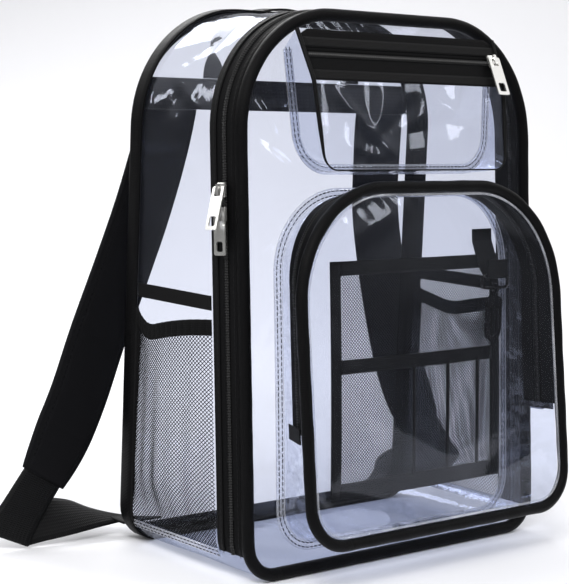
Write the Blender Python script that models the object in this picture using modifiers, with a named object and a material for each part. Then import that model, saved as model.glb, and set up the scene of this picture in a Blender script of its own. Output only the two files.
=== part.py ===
# Clear stadium backpack: clear PVC sheets, black bindings and zippers, net pockets and padded straps.
# Metres, +Z up, the front faces -Y. The origin is the middle of the flat base.

import math

import bpy
import numpy as np
from mathutils import Matrix, Vector

# Bag body
HEIGHT = 0.430
WIDTH = 0.320
DEPTH_BASE = 0.160
DEPTH_TOP = 0.124
TOP_RADIUS = 0.096
BASE_RADIUS = 0.030
SHEET = 0.0010          # wall of the clear sheets
GAP = 0.0003            # left between two pieces that touch
FRONT_CROWN = 0.005     # how far the front sheet swells
BACK_CROWN = 0.004
SKIN_INSET = 0.0030     # the side wall lies this far inside the bindings
BASE_TURN_UP = 0.020    # height to which the base sheet turns up

# Bindings
PIPING_RADIUS = 0.0050
BACK_WRAP_SIDE = 0.0160
BACK_WRAP_REAR = 0.0110
BACK_WRAP = 0.0020

# Main zipper, measured back from the front edge
TAPE = 0.0010
TAPE_FRONT_WIDTH = 0.0085
TAPE_REAR_WIDTH = 0.0142
COIL_RADIUS = 0.0022
SLIDER_DROPS = {"upper": 0.138, "lower": 0.156}  # below the bag's top
UPPER_PULL_LIFT = 15.0  # degrees: the upper pull lies over the lower slider

# Sliders and pulls
SLIDER_LENGTH = 0.0110
SLIDER_WIDTH = 0.0085
SLIDER_BODY = 0.0026
BRIDGE_LENGTH = 0.0084
BRIDGE_WIDTH = 0.0030
BRIDGE_WALL = 0.0011
SLOT_HEIGHT = 0.0022
PULL_LENGTH = 0.0330
PULL_WIDTH = 0.0130
PULL_THICKNESS = 0.0011
PULL_BAR = 0.0015       # wire bar of the pull that lies in the slider's bridge
PULL_EYE = 0.0060       # length of the hole round the bridge
PULL_SIDE = 0.0028      # rim beside the pull's holes
PULL_WINDOW = 0.0075    # length of the hole at the free end

# Side net pockets
NET = 0.0010
NET_TOP = 0.196
NET_SWELL = 0.0125
NET_ROWS = (0.0, 0.028, 0.058, 0.16, 0.30, 0.46, 0.64, 0.82, 1.0)  # shares of the net's height
NET_BAND = 0.0120
NET_BAND_DIP = 0.0160
BAND = 0.0012
SIDE_TRIM_LOW = 0.2005
SIDE_TRIM_HEIGHT = 0.0110

# Lower front pocket: seam outline on the bag, face outline in front of it
POCKET_SEAM = {"half": 0.120, "base": 0.027, "top_radius": 0.056, "base_radius": 0.026}
POCKET_FACE = {"base": 0.036, "top_radius": 0.088, "base_radius": 0.032}
POCKET_FLARE = 0.020    # of the face's sides past the seam's
POCKETS_APART = 0.012   # between the faces of the top pocket and the lower one
POCKET_FACE_RISE = 0.011  # of the face's top above the seam's
POCKET_DEPTH_BASE = 0.056
POCKET_DEPTH_TOP = 0.043
POCKET_CROWN = 0.006
POCKET_ZIP_END = 0.117  # height of both ends of the pocket's zipper
POCKET_PIPING = 0.0045
POCKET_SLIDER_HEIGHT = 0.140
POCKET_TAPE_OUTER = 0.0115
POCKET_TAPE_INNER = 0.0095
FLANGE_WIDTH = 0.0080
ZIP_END_HEIGHT = 0.0110

# Organizer on the bag's front sheet, inside the lower pocket
ORGANIZER_LEFT = -0.075
ORGANIZER_SET_IN = 0.004  # of its right edge inside the pocket's seam
ORGANIZER_BASE = 0.053
ORGANIZER_DROP = 0.048  # below the top of the pocket's seam
ORGANIZER_MIDDLE = 0.151
ORGANIZER_BAND = 0.0110
ORGANIZER_BASE_BAND = 0.0130
ORGANIZER_TRIM = 0.0100
DIVIDER = 0.0030
DIVIDER_SHARES = (0.465, 0.67, 0.86)

# Key clip
KEY_SET_IN = 0.022      # of the strap's centre line inside the pocket's seam
KEY_STRAP_WIDTH = 0.0235
KEY_STRAP_DROP = 0.067  # its fold below the top of the pocket's seam
KEY_STRAP_BOW = (0.46, 0.55)    # its middle below the organizer: shares of the way out and down
KEY_STAND_OFF = 0.0155
RING_WIRE = 0.0014
RING_LENGTH = 0.0340
RING_HEIGHT = 0.0130
RING_CORNER = 0.0030
EYE_RADIUS = 0.0044
EYE_HOLE = 0.0024
HOOK_WIDTH = 0.0170
HOOK_LENGTH = 0.0370
HOOK_BAR = 0.0034
HOOK_THICKNESS = 0.0034
GATE_LENGTH = 0.0120

# Top front pocket
TOP_POCKET_DROP = 0.017   # of the face's top edge below the bag's top
TOP_TAPE_UPPER = 0.0190
TOP_TAPE_LOWER = 0.0185
TOP_FILM_HEIGHT = 0.0665
TOP_DEPTHS = {"base": 0.030, "tape": 0.024, "top": 0.009}  # of the face in front of the bag
TOP_SEAM = {"half_top": 0.114, "half_base": 0.105, "radius": 0.030}
TOP_FACE = {"half_top": 0.107, "half_base": 0.099, "radius": 0.012}
TOP_SEAM_DROP = 0.016     # of the seam's ends below the face's top edge
TOP_SEAM_UNDER = 0.005    # of the seam below the face's base

# Back
ANCHOR_DROP = 0.082     # its lower edge below the bag's top
ANCHOR_HEIGHT = 0.025
ANCHOR_SET_IN = 0.0010
WEBBING = 0.0018
HANDLE_HALF = 0.076
HANDLE_RISE = 0.060
HANDLE_WIDTH = 0.020
HANDLE_TURN = 0.42      # how far up its arch, in radians, the handle turns edge-on
PAD_WIDTH = 0.056
PAD_THICKNESS = 0.0090
PAD_END_SHARE = 0.8     # width of the pad's end as a share of its width
STRAP_WIDTH = 0.038

# The left pad's centre line from the anchor band: x as a share of half the width, distance behind
# its seat as a share of the base depth, way down as a share of the anchor's height
PAD_PATH = (
    (-0.734, 0.000, 0.000),
    (-0.765, 0.035, 0.105),
    (-0.818, 0.085, 0.235),
    (-0.905, 0.120, 0.370),
    (-1.025, 0.150, 0.530),
    (-1.130, 0.155, 0.665),
    (-1.235, 0.150, 0.765),
    (-1.345, 0.140, 0.850),
)

# The left webbing from below the pad to the floor, folded, and back to the base corner: x as a share
# of half the width, distance behind the back as a share of the base depth, its lower edge as a share
# of the pad end's height, and its half width's direction x, y, z
WEBBING_PATH = (
    (-1.455, 0.154, 0.463, 0.93, -0.10, -0.36),
    (-1.540, 0.136, 0.169, 0.90, -0.24, -0.38),
    (-1.569, 0.123, 0.040, 0.87, -0.31, -0.38),
    (-1.578, 0.137, 0.034, 0.87, -0.31, -0.38),
    (-1.562, 0.152, 0.034, 0.76, -0.43, -0.49),
    (-1.488, 0.159, 0.034, 0.45, -0.51, -0.73),
    (-1.394, 0.154, 0.060, 0.21, -0.53, -0.82),
    (-1.238, 0.148, 0.130, 0.21, -0.74, -0.63),
    (-1.088, 0.154, 0.184, 0.37, -0.82, -0.42),
    (-0.962, 0.145, 0.210, 0.66, -0.74, -0.21),
    (-0.875, 0.092, 0.210, 0.90, -0.42, -0.08),
    (-0.838, 0.000, 0.220, 1.00, 0.00, 0.00),
)

# Creases of the side wall above the net pockets: share along the arch, depth in metres, width as a
# share of the arch
SIDE_CREASES = (
    (0.262, -0.0014, 0.014),
    (0.305, 0.0022, 0.018),
    (0.385, 0.0030, 0.022),
    (0.470, -0.0020, 0.030),
    (0.560, 0.0022, 0.025),
    (0.640, 0.0028, 0.022),
    (0.725, -0.0014, 0.016),
)
CREASE_COLUMNS = (0.0, 0.28, 0.56, 0.84, 1.0)  # shares of the side wall's depth

BACK_Y = DEPTH_BASE / 2
HALF = WIDTH / 2
LEAN = (DEPTH_BASE - DEPTH_TOP) / HEIGHT
BODY = {
    "half": HALF,
    "base": 0.0,
    "top": HEIGHT,
    "top_radius": TOP_RADIUS,
    "base_radius": BASE_RADIUS,
}
ANCHOR_BASE = HEIGHT - ANCHOR_DROP
TOP_EDGE = HEIGHT - TOP_POCKET_DROP
TOP_COIL_HEIGHT = TOP_EDGE - TOP_TAPE_UPPER
TOP_TAPE_LOW = TOP_COIL_HEIGHT - TOP_TAPE_LOWER
TOP_BASE = TOP_TAPE_LOW - TOP_FILM_HEIGHT
TOP_FACE.update(base=TOP_BASE, top=TOP_EDGE)
TOP_SEAM.update(base=TOP_BASE - TOP_SEAM_UNDER, top=TOP_EDGE - TOP_SEAM_DROP)
TOP_PROFILE = (
    (TOP_BASE, TOP_DEPTHS["base"]),
    (TOP_TAPE_LOW, TOP_DEPTHS["tape"]),
    (TOP_EDGE, TOP_DEPTHS["top"]),
)
POCKET_FACE.update(half=POCKET_SEAM["half"] + POCKET_FLARE, top=TOP_BASE - POCKETS_APART)
POCKET_SEAM["top"] = POCKET_FACE["top"] - POCKET_FACE_RISE
ORGANIZER_TOP = POCKET_SEAM["top"] - ORGANIZER_DROP
ORGANIZER_RIGHT = POCKET_SEAM["half"] - ORGANIZER_SET_IN
KEY_STRAP_BASE = POCKET_SEAM["top"] - KEY_STRAP_DROP
KEY_X = POCKET_SEAM["half"] - KEY_SET_IN


def new_material(name, colour, roughness, metallic=0.0, alpha=1.0):
    material = bpy.data.materials.new(name)
    material.use_nodes = True
    shader = material.node_tree.nodes["Principled BSDF"]
    shader.inputs["Base Color"].default_value = (*colour, 1.0)
    shader.inputs["Roughness"].default_value = roughness
    shader.inputs["Metallic"].default_value = metallic
    shader.inputs["Alpha"].default_value = alpha
    return material


def add_object(name, data, finish, collection, matrix=None):
    item = bpy.data.objects.new(name, data)
    if finish is not None:
        data.materials.append(finish)
    if matrix is not None:
        item.matrix_world = matrix
    collection.objects.link(item)
    return item


def edge_y(z):
    # Depth of the bag's front edge at a height: the front leans back.
    return -DEPTH_BASE / 2 + LEAN * np.asarray(z, dtype=float)


def half_width(shape, z, inset=0.0):
    # Half the width of a round-cornered outline at a height.
    z = np.asarray(z, dtype=float)
    low = shape["base"] + shape["base_radius"]
    high = shape["top"] - shape["top_radius"]
    base_arc = shape["base_radius"] - inset
    top_arc = shape["top_radius"] - inset
    under = np.clip(low - z, 0.0, base_arc)
    over = np.clip(z - high, 0.0, top_arc)
    straight = shape["half"] - inset
    below = shape["half"] - shape["base_radius"] + np.sqrt(base_arc**2 - under**2)
    above = shape["half"] - shape["top_radius"] + np.sqrt(top_arc**2 - over**2)
    return np.where(z < low, below, np.where(z > high, above, straight))


def swell(x, z, half, low, high):
    # From 0 near the edge of a sheet to 1 in its middle.
    across = np.clip(1.0 - (np.asarray(x) / half) ** 2, 0.0, 1.0)
    share = (z - low) / (high - low)
    up = np.clip(4.0 * share * (1.0 - share), 0.0, 1.0)
    middle = across * up
    return middle * middle * (3.0 - 2.0 * middle)


def front_y(x, z):
    # The front sheet: the leaning plane, swollen towards its middle.
    return edge_y(z) - FRONT_CROWN * swell(x, z, HALF, 0.0, HEIGHT)


def back_y(x, z):
    return BACK_Y - BACK_WRAP / 2 - 1.5 * GAP - SHEET / 2 + BACK_CROWN * swell(x, z, HALF, 0.0, HEIGHT)


def row_heights(shape, inset, arc_steps, straight_steps, low=None, base_arc_steps=3):
    # Heights of the points up one side: base arc, straight, top arc.
    base_arc = shape["base_radius"] - inset
    top_arc = shape["top_radius"] - inset
    centre_low = shape["base"] + shape["base_radius"]
    centre_high = shape["top"] - shape["top_radius"]
    start = 0.0
    if low is not None:
        start = math.acos(min(1.0, max(0.0, (centre_low - low) / base_arc)))
    base_turn = np.linspace(start, math.pi / 2, base_arc_steps + 1)
    top_turn = np.linspace(0.0, math.pi / 2, arc_steps + 1)
    straight = np.linspace(centre_low, centre_high, straight_steps + 1)[1:-1]
    return np.concatenate([
        centre_low - base_arc * np.cos(base_turn),
        straight,
        centre_high + top_arc * np.sin(top_turn),
    ])


def arch(shape, inset, low, arc_steps=7, straight_steps=5, top_steps=3):
    # The outline from a height on the left, over the top, down to that height on the right.
    z = row_heights(shape, inset, arc_steps, straight_steps, low)
    if low > shape["base"] + shape["base_radius"]:
        straight_end = shape["top"] - shape["top_radius"]
        rise = np.linspace(low, straight_end, straight_steps + 1)[:-1]
        z = np.concatenate([rise, z[z >= straight_end - 1e-9]])
    x = half_width(shape, z, inset)
    flat = np.linspace(-x[-1], x[-1], top_steps + 1)[1:-1]
    return (
        np.concatenate([-x, flat, x[::-1]]),
        np.concatenate([z, np.full(len(flat), z[-1]), z[::-1]]),
    )


def loop(shape, inset, arc_steps=7, straight_steps=5, top_steps=3, base_steps=4):
    # The whole outline as a closed ring.
    z = row_heights(shape, inset, arc_steps, straight_steps, base_arc_steps=5)
    x = half_width(shape, z, inset)
    flat = np.linspace(-x[-1], x[-1], top_steps + 1)[1:-1]
    floor = np.linspace(x[0], -x[0], base_steps + 1)[1:-1]
    return (
        np.concatenate([-x, flat, x[::-1], floor]),
        np.concatenate([z, np.full(len(flat), z[-1]), z[::-1], np.full(len(floor), z[0])]),
    )


def grid_object(name, grid, thickness, finish, collection, closed=False):
    # An open sheet through a grid of points, given its wall by Solidify.
    rows, columns = grid.shape[:2]
    mesh = bpy.data.meshes.new(name)
    row = np.arange(rows if closed else rows - 1)[:, None]
    column = np.arange(columns - 1)[None, :]
    after = (row + 1) % rows
    corners = [row * columns + column, row * columns + column + 1,
               after * columns + column + 1, after * columns + column]
    faces = np.stack([np.broadcast_to(c, (len(row), columns - 1)) for c in corners], axis=-1)
    mesh.from_pydata(grid.reshape(-1, 3).tolist(), [], faces.reshape(-1, 4).tolist())
    item = add_object(name, mesh, finish, collection)
    wall = item.modifiers.new("Wall", "SOLIDIFY")
    wall.thickness = thickness
    wall.offset = 0.0
    wall.use_even_offset = True
    return item


def stack(*columns):
    # Columns of points, each x, y, z arrays, side by side as a grid.
    return np.stack([np.stack(np.broadcast_arrays(*c), axis=-1) for c in columns], axis=1)


def panel(name, shape, inset, depth, thickness, finish, collection, columns=7, arc_steps=6):
    # A sheet that fills a round-cornered outline, its depth given by a function of x and z.
    z = row_heights(shape, inset, arc_steps, 6)[:, None]
    shares = np.sin(math.pi / 2 * np.linspace(-1.0, 1.0, columns + 1))
    x = half_width(shape, z, inset) * shares[None, :]
    grid = np.stack([x, depth(x, z), np.broadcast_to(z, x.shape)], axis=-1)
    return grid_object(name, grid, thickness, finish, collection)


def patch(name, left, right, low, high, depth, thickness, finish, collection, steps=(4, 6)):
    # A four-sided strip on a surface whose depth is a function of x and z.
    z = np.linspace(low, high, steps[0] + 1)[:, None]
    share = np.linspace(0.0, 1.0, steps[1] + 1)[None, :]
    x = left + (right - left) * share + 0.0 * z
    grid = np.stack([x, depth(x, z), np.broadcast_to(z, x.shape)], axis=-1)
    return grid_object(name, grid, thickness, finish, collection)


def tube(name, points, radius, finish, collection, closed=False, resolution=2):
    curve = bpy.data.curves.new(name, "CURVE")
    curve.dimensions = "3D"
    curve.bevel_depth = radius
    curve.bevel_resolution = resolution
    curve.use_fill_caps = not closed
    spline = curve.splines.new("POLY")
    spline.points.add(len(points) - 1)
    spline.points.foreach_set("co", np.column_stack([points, np.ones(len(points))]).ravel())
    spline.use_cyclic_u = closed
    return add_object(name, curve, finish, collection)


def plate(name, outlines, thickness, matrix, finish, collection):
    # A flat outline with its holes, extruded to both sides of the drawing plane.
    curve = bpy.data.curves.new(name, "CURVE")
    curve.dimensions = "2D"
    curve.fill_mode = "BOTH"
    curve.extrude = thickness / 2
    for outline in outlines:
        spline = curve.splines.new("POLY")
        spline.points.add(len(outline) - 1)
        flat = [value for x, y in outline for value in (x, y, 0.0, 1.0)]
        spline.points.foreach_set("co", flat)
        spline.use_cyclic_u = True
    return add_object(name, curve, finish, collection, matrix)


def rounded(x0, x1, y0, y1, radius, steps=3):
    # A rectangle with round corners, anticlockwise.
    corners = ((x1 - radius, y1 - radius, 0), (x0 + radius, y1 - radius, 1),
               (x0 + radius, y0 + radius, 2), (x1 - radius, y0 + radius, 3))
    points = []
    for x, y, quarter in corners:
        for step in range(steps + 1):
            turn = math.pi / 2 * (quarter + step / steps)
            points.append((x + radius * math.cos(turn), y + radius * math.sin(turn)))
    return points


def circle(x, y, radius, steps=14):
    turns = [2 * math.pi * step / steps for step in range(steps)]
    return [(x + radius * math.cos(turn), y + radius * math.sin(turn)) for turn in turns]


def box(name, low, high, matrix, finish, collection):
    corners = [(x, y, z) for x in (low[0], high[0]) for y in (low[1], high[1]) for z in (low[2], high[2])]
    faces = [(0, 1, 3, 2), (4, 6, 7, 5), (0, 4, 5, 1), (2, 3, 7, 6), (0, 2, 6, 4), (1, 5, 7, 3)]
    mesh = bpy.data.meshes.new(name)
    mesh.from_pydata(corners, [], faces)
    return add_object(name, mesh, finish, collection, matrix)


def frame_matrix(origin, along, across):
    # A placing whose x runs along the zipper, y across it and z out of the cloth.
    along = Vector(along).normalized()
    across = Vector(across)
    across = (across - along * across.dot(along)).normalized()
    out = along.cross(across)
    turn = Matrix((along, across, out)).transposed().to_4x4()
    return Matrix.Translation(origin) @ turn


def zip_slider(name, matrix, finish, parts, cutters):
    # The slider's body with a bridge over it, and a slot under the bridge for the pull's bar.
    half = SLIDER_LENGTH / 2
    side = SLIDER_WIDTH / 2
    slot_low = SLIDER_BODY + BRIDGE_WALL * 0.2
    slot_high = slot_low + SLOT_HEIGHT
    reach = BRIDGE_LENGTH / 2
    bridge = box(name + "_bridge", (-reach, -BRIDGE_WIDTH / 2, SLIDER_BODY / 2),
                 (reach, BRIDGE_WIDTH / 2, slot_high + BRIDGE_WALL), matrix, None, cutters)
    slot = box(name + "_slot", (-reach + BRIDGE_WALL * 1.1, -BRIDGE_WIDTH, slot_low),
               (reach - BRIDGE_WALL * 1.1, BRIDGE_WIDTH, slot_high), matrix, None, cutters)
    body = box(name, (-half, -side, 0.0), (half, side, SLIDER_BODY), matrix, finish, parts)
    edge = body.modifiers.new("Edge", "BEVEL")
    edge.width = SLIDER_BODY * 0.3
    edge.segments = 2
    for cutter, action in ((bridge, "UNION"), (slot, "DIFFERENCE")):
        cutter.hide_render = True
        cutter.display_type = "WIRE"
        cut = body.modifiers.new(action.title(), "BOOLEAN")
        cut.operation = action
        cut.object = cutter
    return slot_low + SLOT_HEIGHT / 2


def zip_pull(name, matrix, bar_out, finish, parts, lift=0.0):
    # A flat pull with a window at each end; its top bar lies in the slider's bridge, and it swings
    # out round that bar by a lift in degrees.
    bar_low = PULL_BAR * 0.7
    top = bar_low + PULL_BAR
    side = PULL_WIDTH / 2
    outline = rounded(top - PULL_LENGTH, top, -side, side, PULL_SIDE * 0.6)
    inner = side - PULL_SIDE
    eye = rounded(bar_low - PULL_EYE, bar_low, -inner, inner, PULL_SIDE * 0.2, 1)
    end = top - PULL_LENGTH + PULL_SIDE
    window = rounded(end, end + PULL_WINDOW, -inner, inner, PULL_SIDE * 0.4, 2)
    bar = Vector((bar_low + PULL_BAR / 2, 0.0, 0.0))
    swing = Matrix.Translation(bar) @ Matrix.Rotation(math.radians(lift), 4, "Y") @ Matrix.Translation(-bar)
    place = matrix @ Matrix.Translation((0.0, 0.0, bar_out)) @ swing
    return plate(name, (outline, eye, window), PULL_THICKNESS, place, finish, parts)


def side_wall(name, low, start, end, finish, parts, crease=False, wall=SHEET):
    # A band of the bag's side between two depths: start and end are functions of the height.
    found = []
    shares = CREASE_COLUMNS if crease else (0.0, 1.0)
    for share in shares:
        x, z = arch(BODY, SKIN_INSET, low)
        way = np.concatenate([[0.0], np.cumsum(np.hypot(np.diff(x), np.diff(z)))])
        way = way / way[-1]
        dent = np.zeros_like(x)
        if crease:
            for place, depth, width in SIDE_CREASES:
                dent += depth * np.exp(-(((way - place) / width) ** 2))
            dent *= math.sin(math.pi * min(1.0, share / shares[-2]))
        out = np.column_stack([x, z - HEIGHT / 2])
        out /= np.linalg.norm(out, axis=1)[:, None]
        y = start(z) + (end(z) - start(z)) * share
        found.append((x - dent * out[:, 0], y, z - dent * out[:, 1]))
    return grid_object(name, stack(*found), wall, finish, parts)


def build_body(parts, cutters, looks):
    clear, black, metal = looks["clear_pvc"], looks["black_binding"], looks["nickel"]
    tape_start = PIPING_RADIUS + GAP
    coil_at = tape_start + TAPE_FRONT_WIDTH + GAP + COIL_RADIUS
    rear_start = coil_at + COIL_RADIUS + GAP
    rear_end = rear_start + TAPE_REAR_WIDTH

    panel("front_panel", BODY, 2 * PIPING_RADIUS + 3 * GAP, front_y, SHEET, clear, parts)
    panel("back_panel", BODY, SKIN_INSET + SHEET / 2 + 2 * GAP, back_y, SHEET, clear, parts)

    x, z = loop(BODY, PIPING_RADIUS)
    tube("front_binding", np.column_stack([x, edge_y(z), z]), PIPING_RADIUS, black, parts, closed=True)

    # The back binding wraps the edge: down the side, round the corner, onto the back.
    wrap = BACK_WRAP / 2
    columns = []
    for inset, depth in ((wrap, -BACK_WRAP_SIDE), (wrap, -1.5 * BACK_WRAP),
                         (1.5 * BACK_WRAP, 0.0), (BACK_WRAP_REAR, 0.0)):
        x, z = loop(BODY, inset)
        columns.append((x, BACK_Y + depth, z))
    grid_object("back_binding", stack(*columns), BACK_WRAP, looks["black_tape"], parts, closed=True)

    low = BASE_TURN_UP + GAP
    side_wall("zip_tape_front", low, lambda z: edge_y(z) + tape_start,
              lambda z: edge_y(z) + tape_start + TAPE_FRONT_WIDTH, looks["zip_tape"], parts, wall=TAPE)
    side_wall("zip_tape_rear", low, lambda z: edge_y(z) + rear_start,
              lambda z: edge_y(z) + rear_end, looks["zip_tape_wide"], parts, wall=TAPE)
    x, z = arch(BODY, SKIN_INSET, low)
    tube("zip_coil", np.column_stack([x, edge_y(z) + coil_at, z]), COIL_RADIUS, looks["zip_coil"],
         parts, resolution=1)
    side_wall("clear_gusset", low, lambda z: edge_y(z) + rear_end + GAP,
              lambda z: np.full_like(z, BACK_Y - 2 * BACK_WRAP), looks["clear_side"], parts,
              crease=True)

    # The base sheet lies flat on the floor and turns up round both corners.
    top_turn = math.acos((BASE_RADIUS - BASE_TURN_UP) / (BASE_RADIUS - SKIN_INSET))
    turn = np.linspace(top_turn, 0.0, 5)
    inset = SHEET / 2 + (SKIN_INSET - SHEET / 2) * turn / top_turn
    corner_x = HALF - BASE_RADIUS + (BASE_RADIUS - inset) * np.sin(turn)
    corner_z = BASE_RADIUS - (BASE_RADIUS - inset) * np.cos(turn)
    flat = np.linspace(-corner_x[-1], corner_x[-1], 5)[1:-1]
    x = np.concatenate([-corner_x, flat, corner_x[::-1]])
    z = np.concatenate([corner_z, np.full(len(flat), corner_z[-1]), corner_z[::-1]])
    near = edge_y(z) + tape_start
    far = BACK_Y - BACK_WRAP_SIDE - GAP
    columns = [(x, near + (far - near) * share, z) for share in (0.0, 0.5, 1.0)]
    grid_object("bottom_panel", stack(*columns), SHEET, looks["clear_base"], parts)

    for place, drop in SLIDER_DROPS.items():
        height = HEIGHT - drop
        out = -HALF + SKIN_INSET - COIL_RADIUS - GAP
        matrix = frame_matrix((out, edge_y(height) + coil_at, height), (0, LEAN, 1), (0, 1, 0))
        bar_out = zip_slider("zip_slider_" + place, matrix, metal, parts, cutters)
        lift = UPPER_PULL_LIFT if place == "upper" else 0.0
        zip_pull("zip_pull_" + place, matrix, bar_out, looks["nickel_pull"], parts, lift)
    return rear_end


def net_skin(side, along, up, low, top, near, far):
    # A point of the side pocket: along runs from front to rear, up from the base to the mouth.
    height = low + (top - low) * up
    depth = near(height) + (far - near(height)) * along
    ease = np.clip(up / 0.3, 0.0, 1.0)
    full = NET_SWELL * np.sin(math.pi * along) ** 0.8 * ease * ease * (3.0 - 2.0 * ease)
    ripple = 0.0012 * np.sin(math.pi * 5.0 * along) * ease * (1.0 - up)
    inset = SKIN_INSET - SHEET / 2 - GAP - NET / 2 - full - ripple
    return side * half_width(BODY, height, inset), depth, height


def build_side_pockets(parts, looks, zip_end):
    near = lambda z: edge_y(z) + zip_end + 2 * GAP + SHEET
    far = BACK_Y - BACK_WRAP_SIDE - 2 * GAP
    low = BASE_TURN_UP + 2 * GAP
    along = np.linspace(0.0, 1.0, 10)
    dip = np.interp(along, (0.0, 0.35, 0.62, 0.80, 1.0), (0.1, 0.35, 0.8, 1.0, 0.0))
    mouth = NET_TOP - NET_BAND_DIP * dip
    for word, side in (("left", -1.0), ("right", 1.0)):
        rows = [net_skin(side, along, up, low, mouth - NET_BAND - GAP, near, far) for up in NET_ROWS]
        grid_object("side_net_" + word, stack(*rows), NET, looks["black_net"], parts)
        base = net_skin(side, along, np.ones_like(along), low, mouth - NET_BAND, near, far)
        rim = net_skin(side, along, np.ones_like(along), low, mouth, near, far)
        grid_object("side_band_" + word, stack(base, rim), BAND, looks["elastic"], parts)
        inset = SKIN_INSET - SHEET / 2 - GAP - BAND / 2
        heights = np.array([SIDE_TRIM_LOW, SIDE_TRIM_LOW + SIDE_TRIM_HEIGHT])
        rows = [(side * half_width(BODY, heights, inset), near(heights) * (1 - t) + far * t, heights)
                for t in np.linspace(0.0, 1.0, 4)]
        grid_object("side_trim_" + word, stack(*rows), BAND, looks["black_trim"], parts)


def pocket_depth(z):
    # How far the lower pocket's face stands in front of the bag's front edge plane.
    share = (z - POCKET_FACE["base"]) / (POCKET_FACE["top"] - POCKET_FACE["base"])
    return POCKET_DEPTH_BASE + (POCKET_DEPTH_TOP - POCKET_DEPTH_BASE) * share


def pocket_span(seam_x, seam_z, face_x, face_z, from_seam, from_face):
    # Points between the seam and the face's edge, a distance from the one or the other.
    seam = np.column_stack([seam_x, front_y(seam_x, seam_z), seam_z])
    face = np.column_stack([face_x, edge_y(face_z) - pocket_depth(face_z), face_z])
    span = np.linalg.norm(face - seam, axis=1)
    share = from_seam / span if from_face is None else 1.0 - from_face / span
    return tuple((seam + (face - seam) * share[:, None]).T)


def pocket_ring(low, from_seam=0.0, from_face=None):
    # The pocket's side above a height, over the top from left to right.
    return pocket_span(*arch(POCKET_SEAM, 0.0, low), *arch(POCKET_FACE, 0.0, low), from_seam, from_face)


def pocket_base_ring(top, from_seam=0.0, from_face=None):
    # The same side, from a height on the left, down round the base and up to that height.
    rows = []
    for shape in (POCKET_SEAM, POCKET_FACE):
        centre = shape["base"] + shape["base_radius"]
        turn = np.linspace(math.pi / 2, 0.0, 6)
        z = np.concatenate([[top], centre - shape["base_radius"] * np.cos(turn)])
        x = half_width(shape, z)
        flat = np.linspace(-x[-1], x[-1], 5)[1:-1]
        rows += [np.concatenate([-x, flat, x[::-1]]),
                 np.concatenate([z, np.full(len(flat), z[-1]), z[::-1]])]
    return pocket_span(*rows, from_seam, from_face)


def pocket_face_y(x, z):
    bulge = swell(x, z, POCKET_FACE["half"], POCKET_FACE["base"], POCKET_FACE["top"])
    return edge_y(z) - pocket_depth(z) - POCKET_CROWN * bulge


def build_lower_pocket(parts, cutters, looks):
    skin = looks["clear_pocket_side"]
    seam = 2.5 * SHEET + 2 * GAP
    outer_near = POCKET_PIPING + 2 * GAP
    outer_far = outer_near + POCKET_TAPE_OUTER
    coil_at = outer_far + 2 * GAP + COIL_RADIUS
    inner_near = coil_at + COIL_RADIUS + 2 * GAP
    inner_far = inner_near + POCKET_TAPE_INNER

    # Seam flange on the bag's front sheet, outside the pocket's side.
    columns = []
    for inset in (-FLANGE_WIDTH, 0.0):
        x, z = loop(POCKET_SEAM, inset)
        columns.append((x, front_y(x, z) - SHEET - 2 * GAP, z))
    grid_object("pocket_flange", stack(*columns), SHEET, looks["clear_seam"], parts, closed=True)

    low = POCKET_ZIP_END
    rows = [pocket_ring(low, seam), pocket_ring(low, from_face=inner_far + GAP)]
    grid_object("pocket_gusset_arch", stack(*rows), SHEET, skin, parts)
    rows = [pocket_ring(low, from_face=inner_far), pocket_ring(low, from_face=inner_near)]
    grid_object("pocket_tape_inner", stack(*rows), TAPE, looks["zip_tape"], parts)
    tube("pocket_coil", np.column_stack(pocket_ring(low, from_face=coil_at)), COIL_RADIUS,
         looks["zip_coil"], parts, resolution=1)
    rows = [pocket_ring(low, from_face=outer_far), pocket_ring(low, from_face=outer_near)]
    grid_object("pocket_tape_outer", stack(*rows), TAPE, looks["zip_tape"], parts)
    rows = [pocket_base_ring(low - GAP, seam), pocket_base_ring(low - GAP, from_face=coil_at),
            pocket_base_ring(low - GAP, from_face=outer_near)]
    grid_object("pocket_gusset_base", stack(*rows), SHEET, skin, parts)

    x, z = loop(POCKET_FACE, 0.0)
    points = np.column_stack([x, edge_y(z) - pocket_depth(z), z])
    tube("pocket_binding", points, POCKET_PIPING, looks["black_binding"], parts, closed=True)
    panel("pocket_front", POCKET_FACE, POCKET_PIPING + 3 * GAP, pocket_face_y, SHEET,
          looks["clear_pocket"], parts)

    # Small tabs cover the zipper's two ends.
    heights = np.array([low - ZIP_END_HEIGHT / 2, low + ZIP_END_HEIGHT / 2])
    sides = [half_width(POCKET_SEAM, heights), heights, half_width(POCKET_FACE, heights), heights]
    reach = SHEET / 2 + COIL_RADIUS + GAP + BAND / 2
    for word, side in (("left", -1.0), ("right", 1.0)):
        columns = []
        for from_face in (inner_far, coil_at, outer_near + reach):
            x, y, z = pocket_span(*sides, 0.0, from_face)
            columns.append((side * (x + reach), y, z))
        grid_object("pocket_zip_end_" + word, stack(*columns), BAND, looks["black_trim"], parts)

    height = np.array([POCKET_SLIDER_HEIGHT])
    sides = [half_width(POCKET_SEAM, height), height, half_width(POCKET_FACE, height), height]
    place = Vector(np.ravel(pocket_span(*sides, 0.0, coil_at)))
    across = Vector(np.ravel(pocket_span(*sides, 0.0, 0.0))) - place
    across.normalize()
    out = Vector((-across.y, across.x, 0.0))
    matrix = frame_matrix(place + out * (COIL_RADIUS + GAP), (0, 0, 1), across)
    bar_out = zip_slider("pocket_slider", matrix, looks["nickel"], parts, cutters)
    zip_pull("pocket_pull", matrix, bar_out, looks["nickel_pull"], parts)


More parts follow.
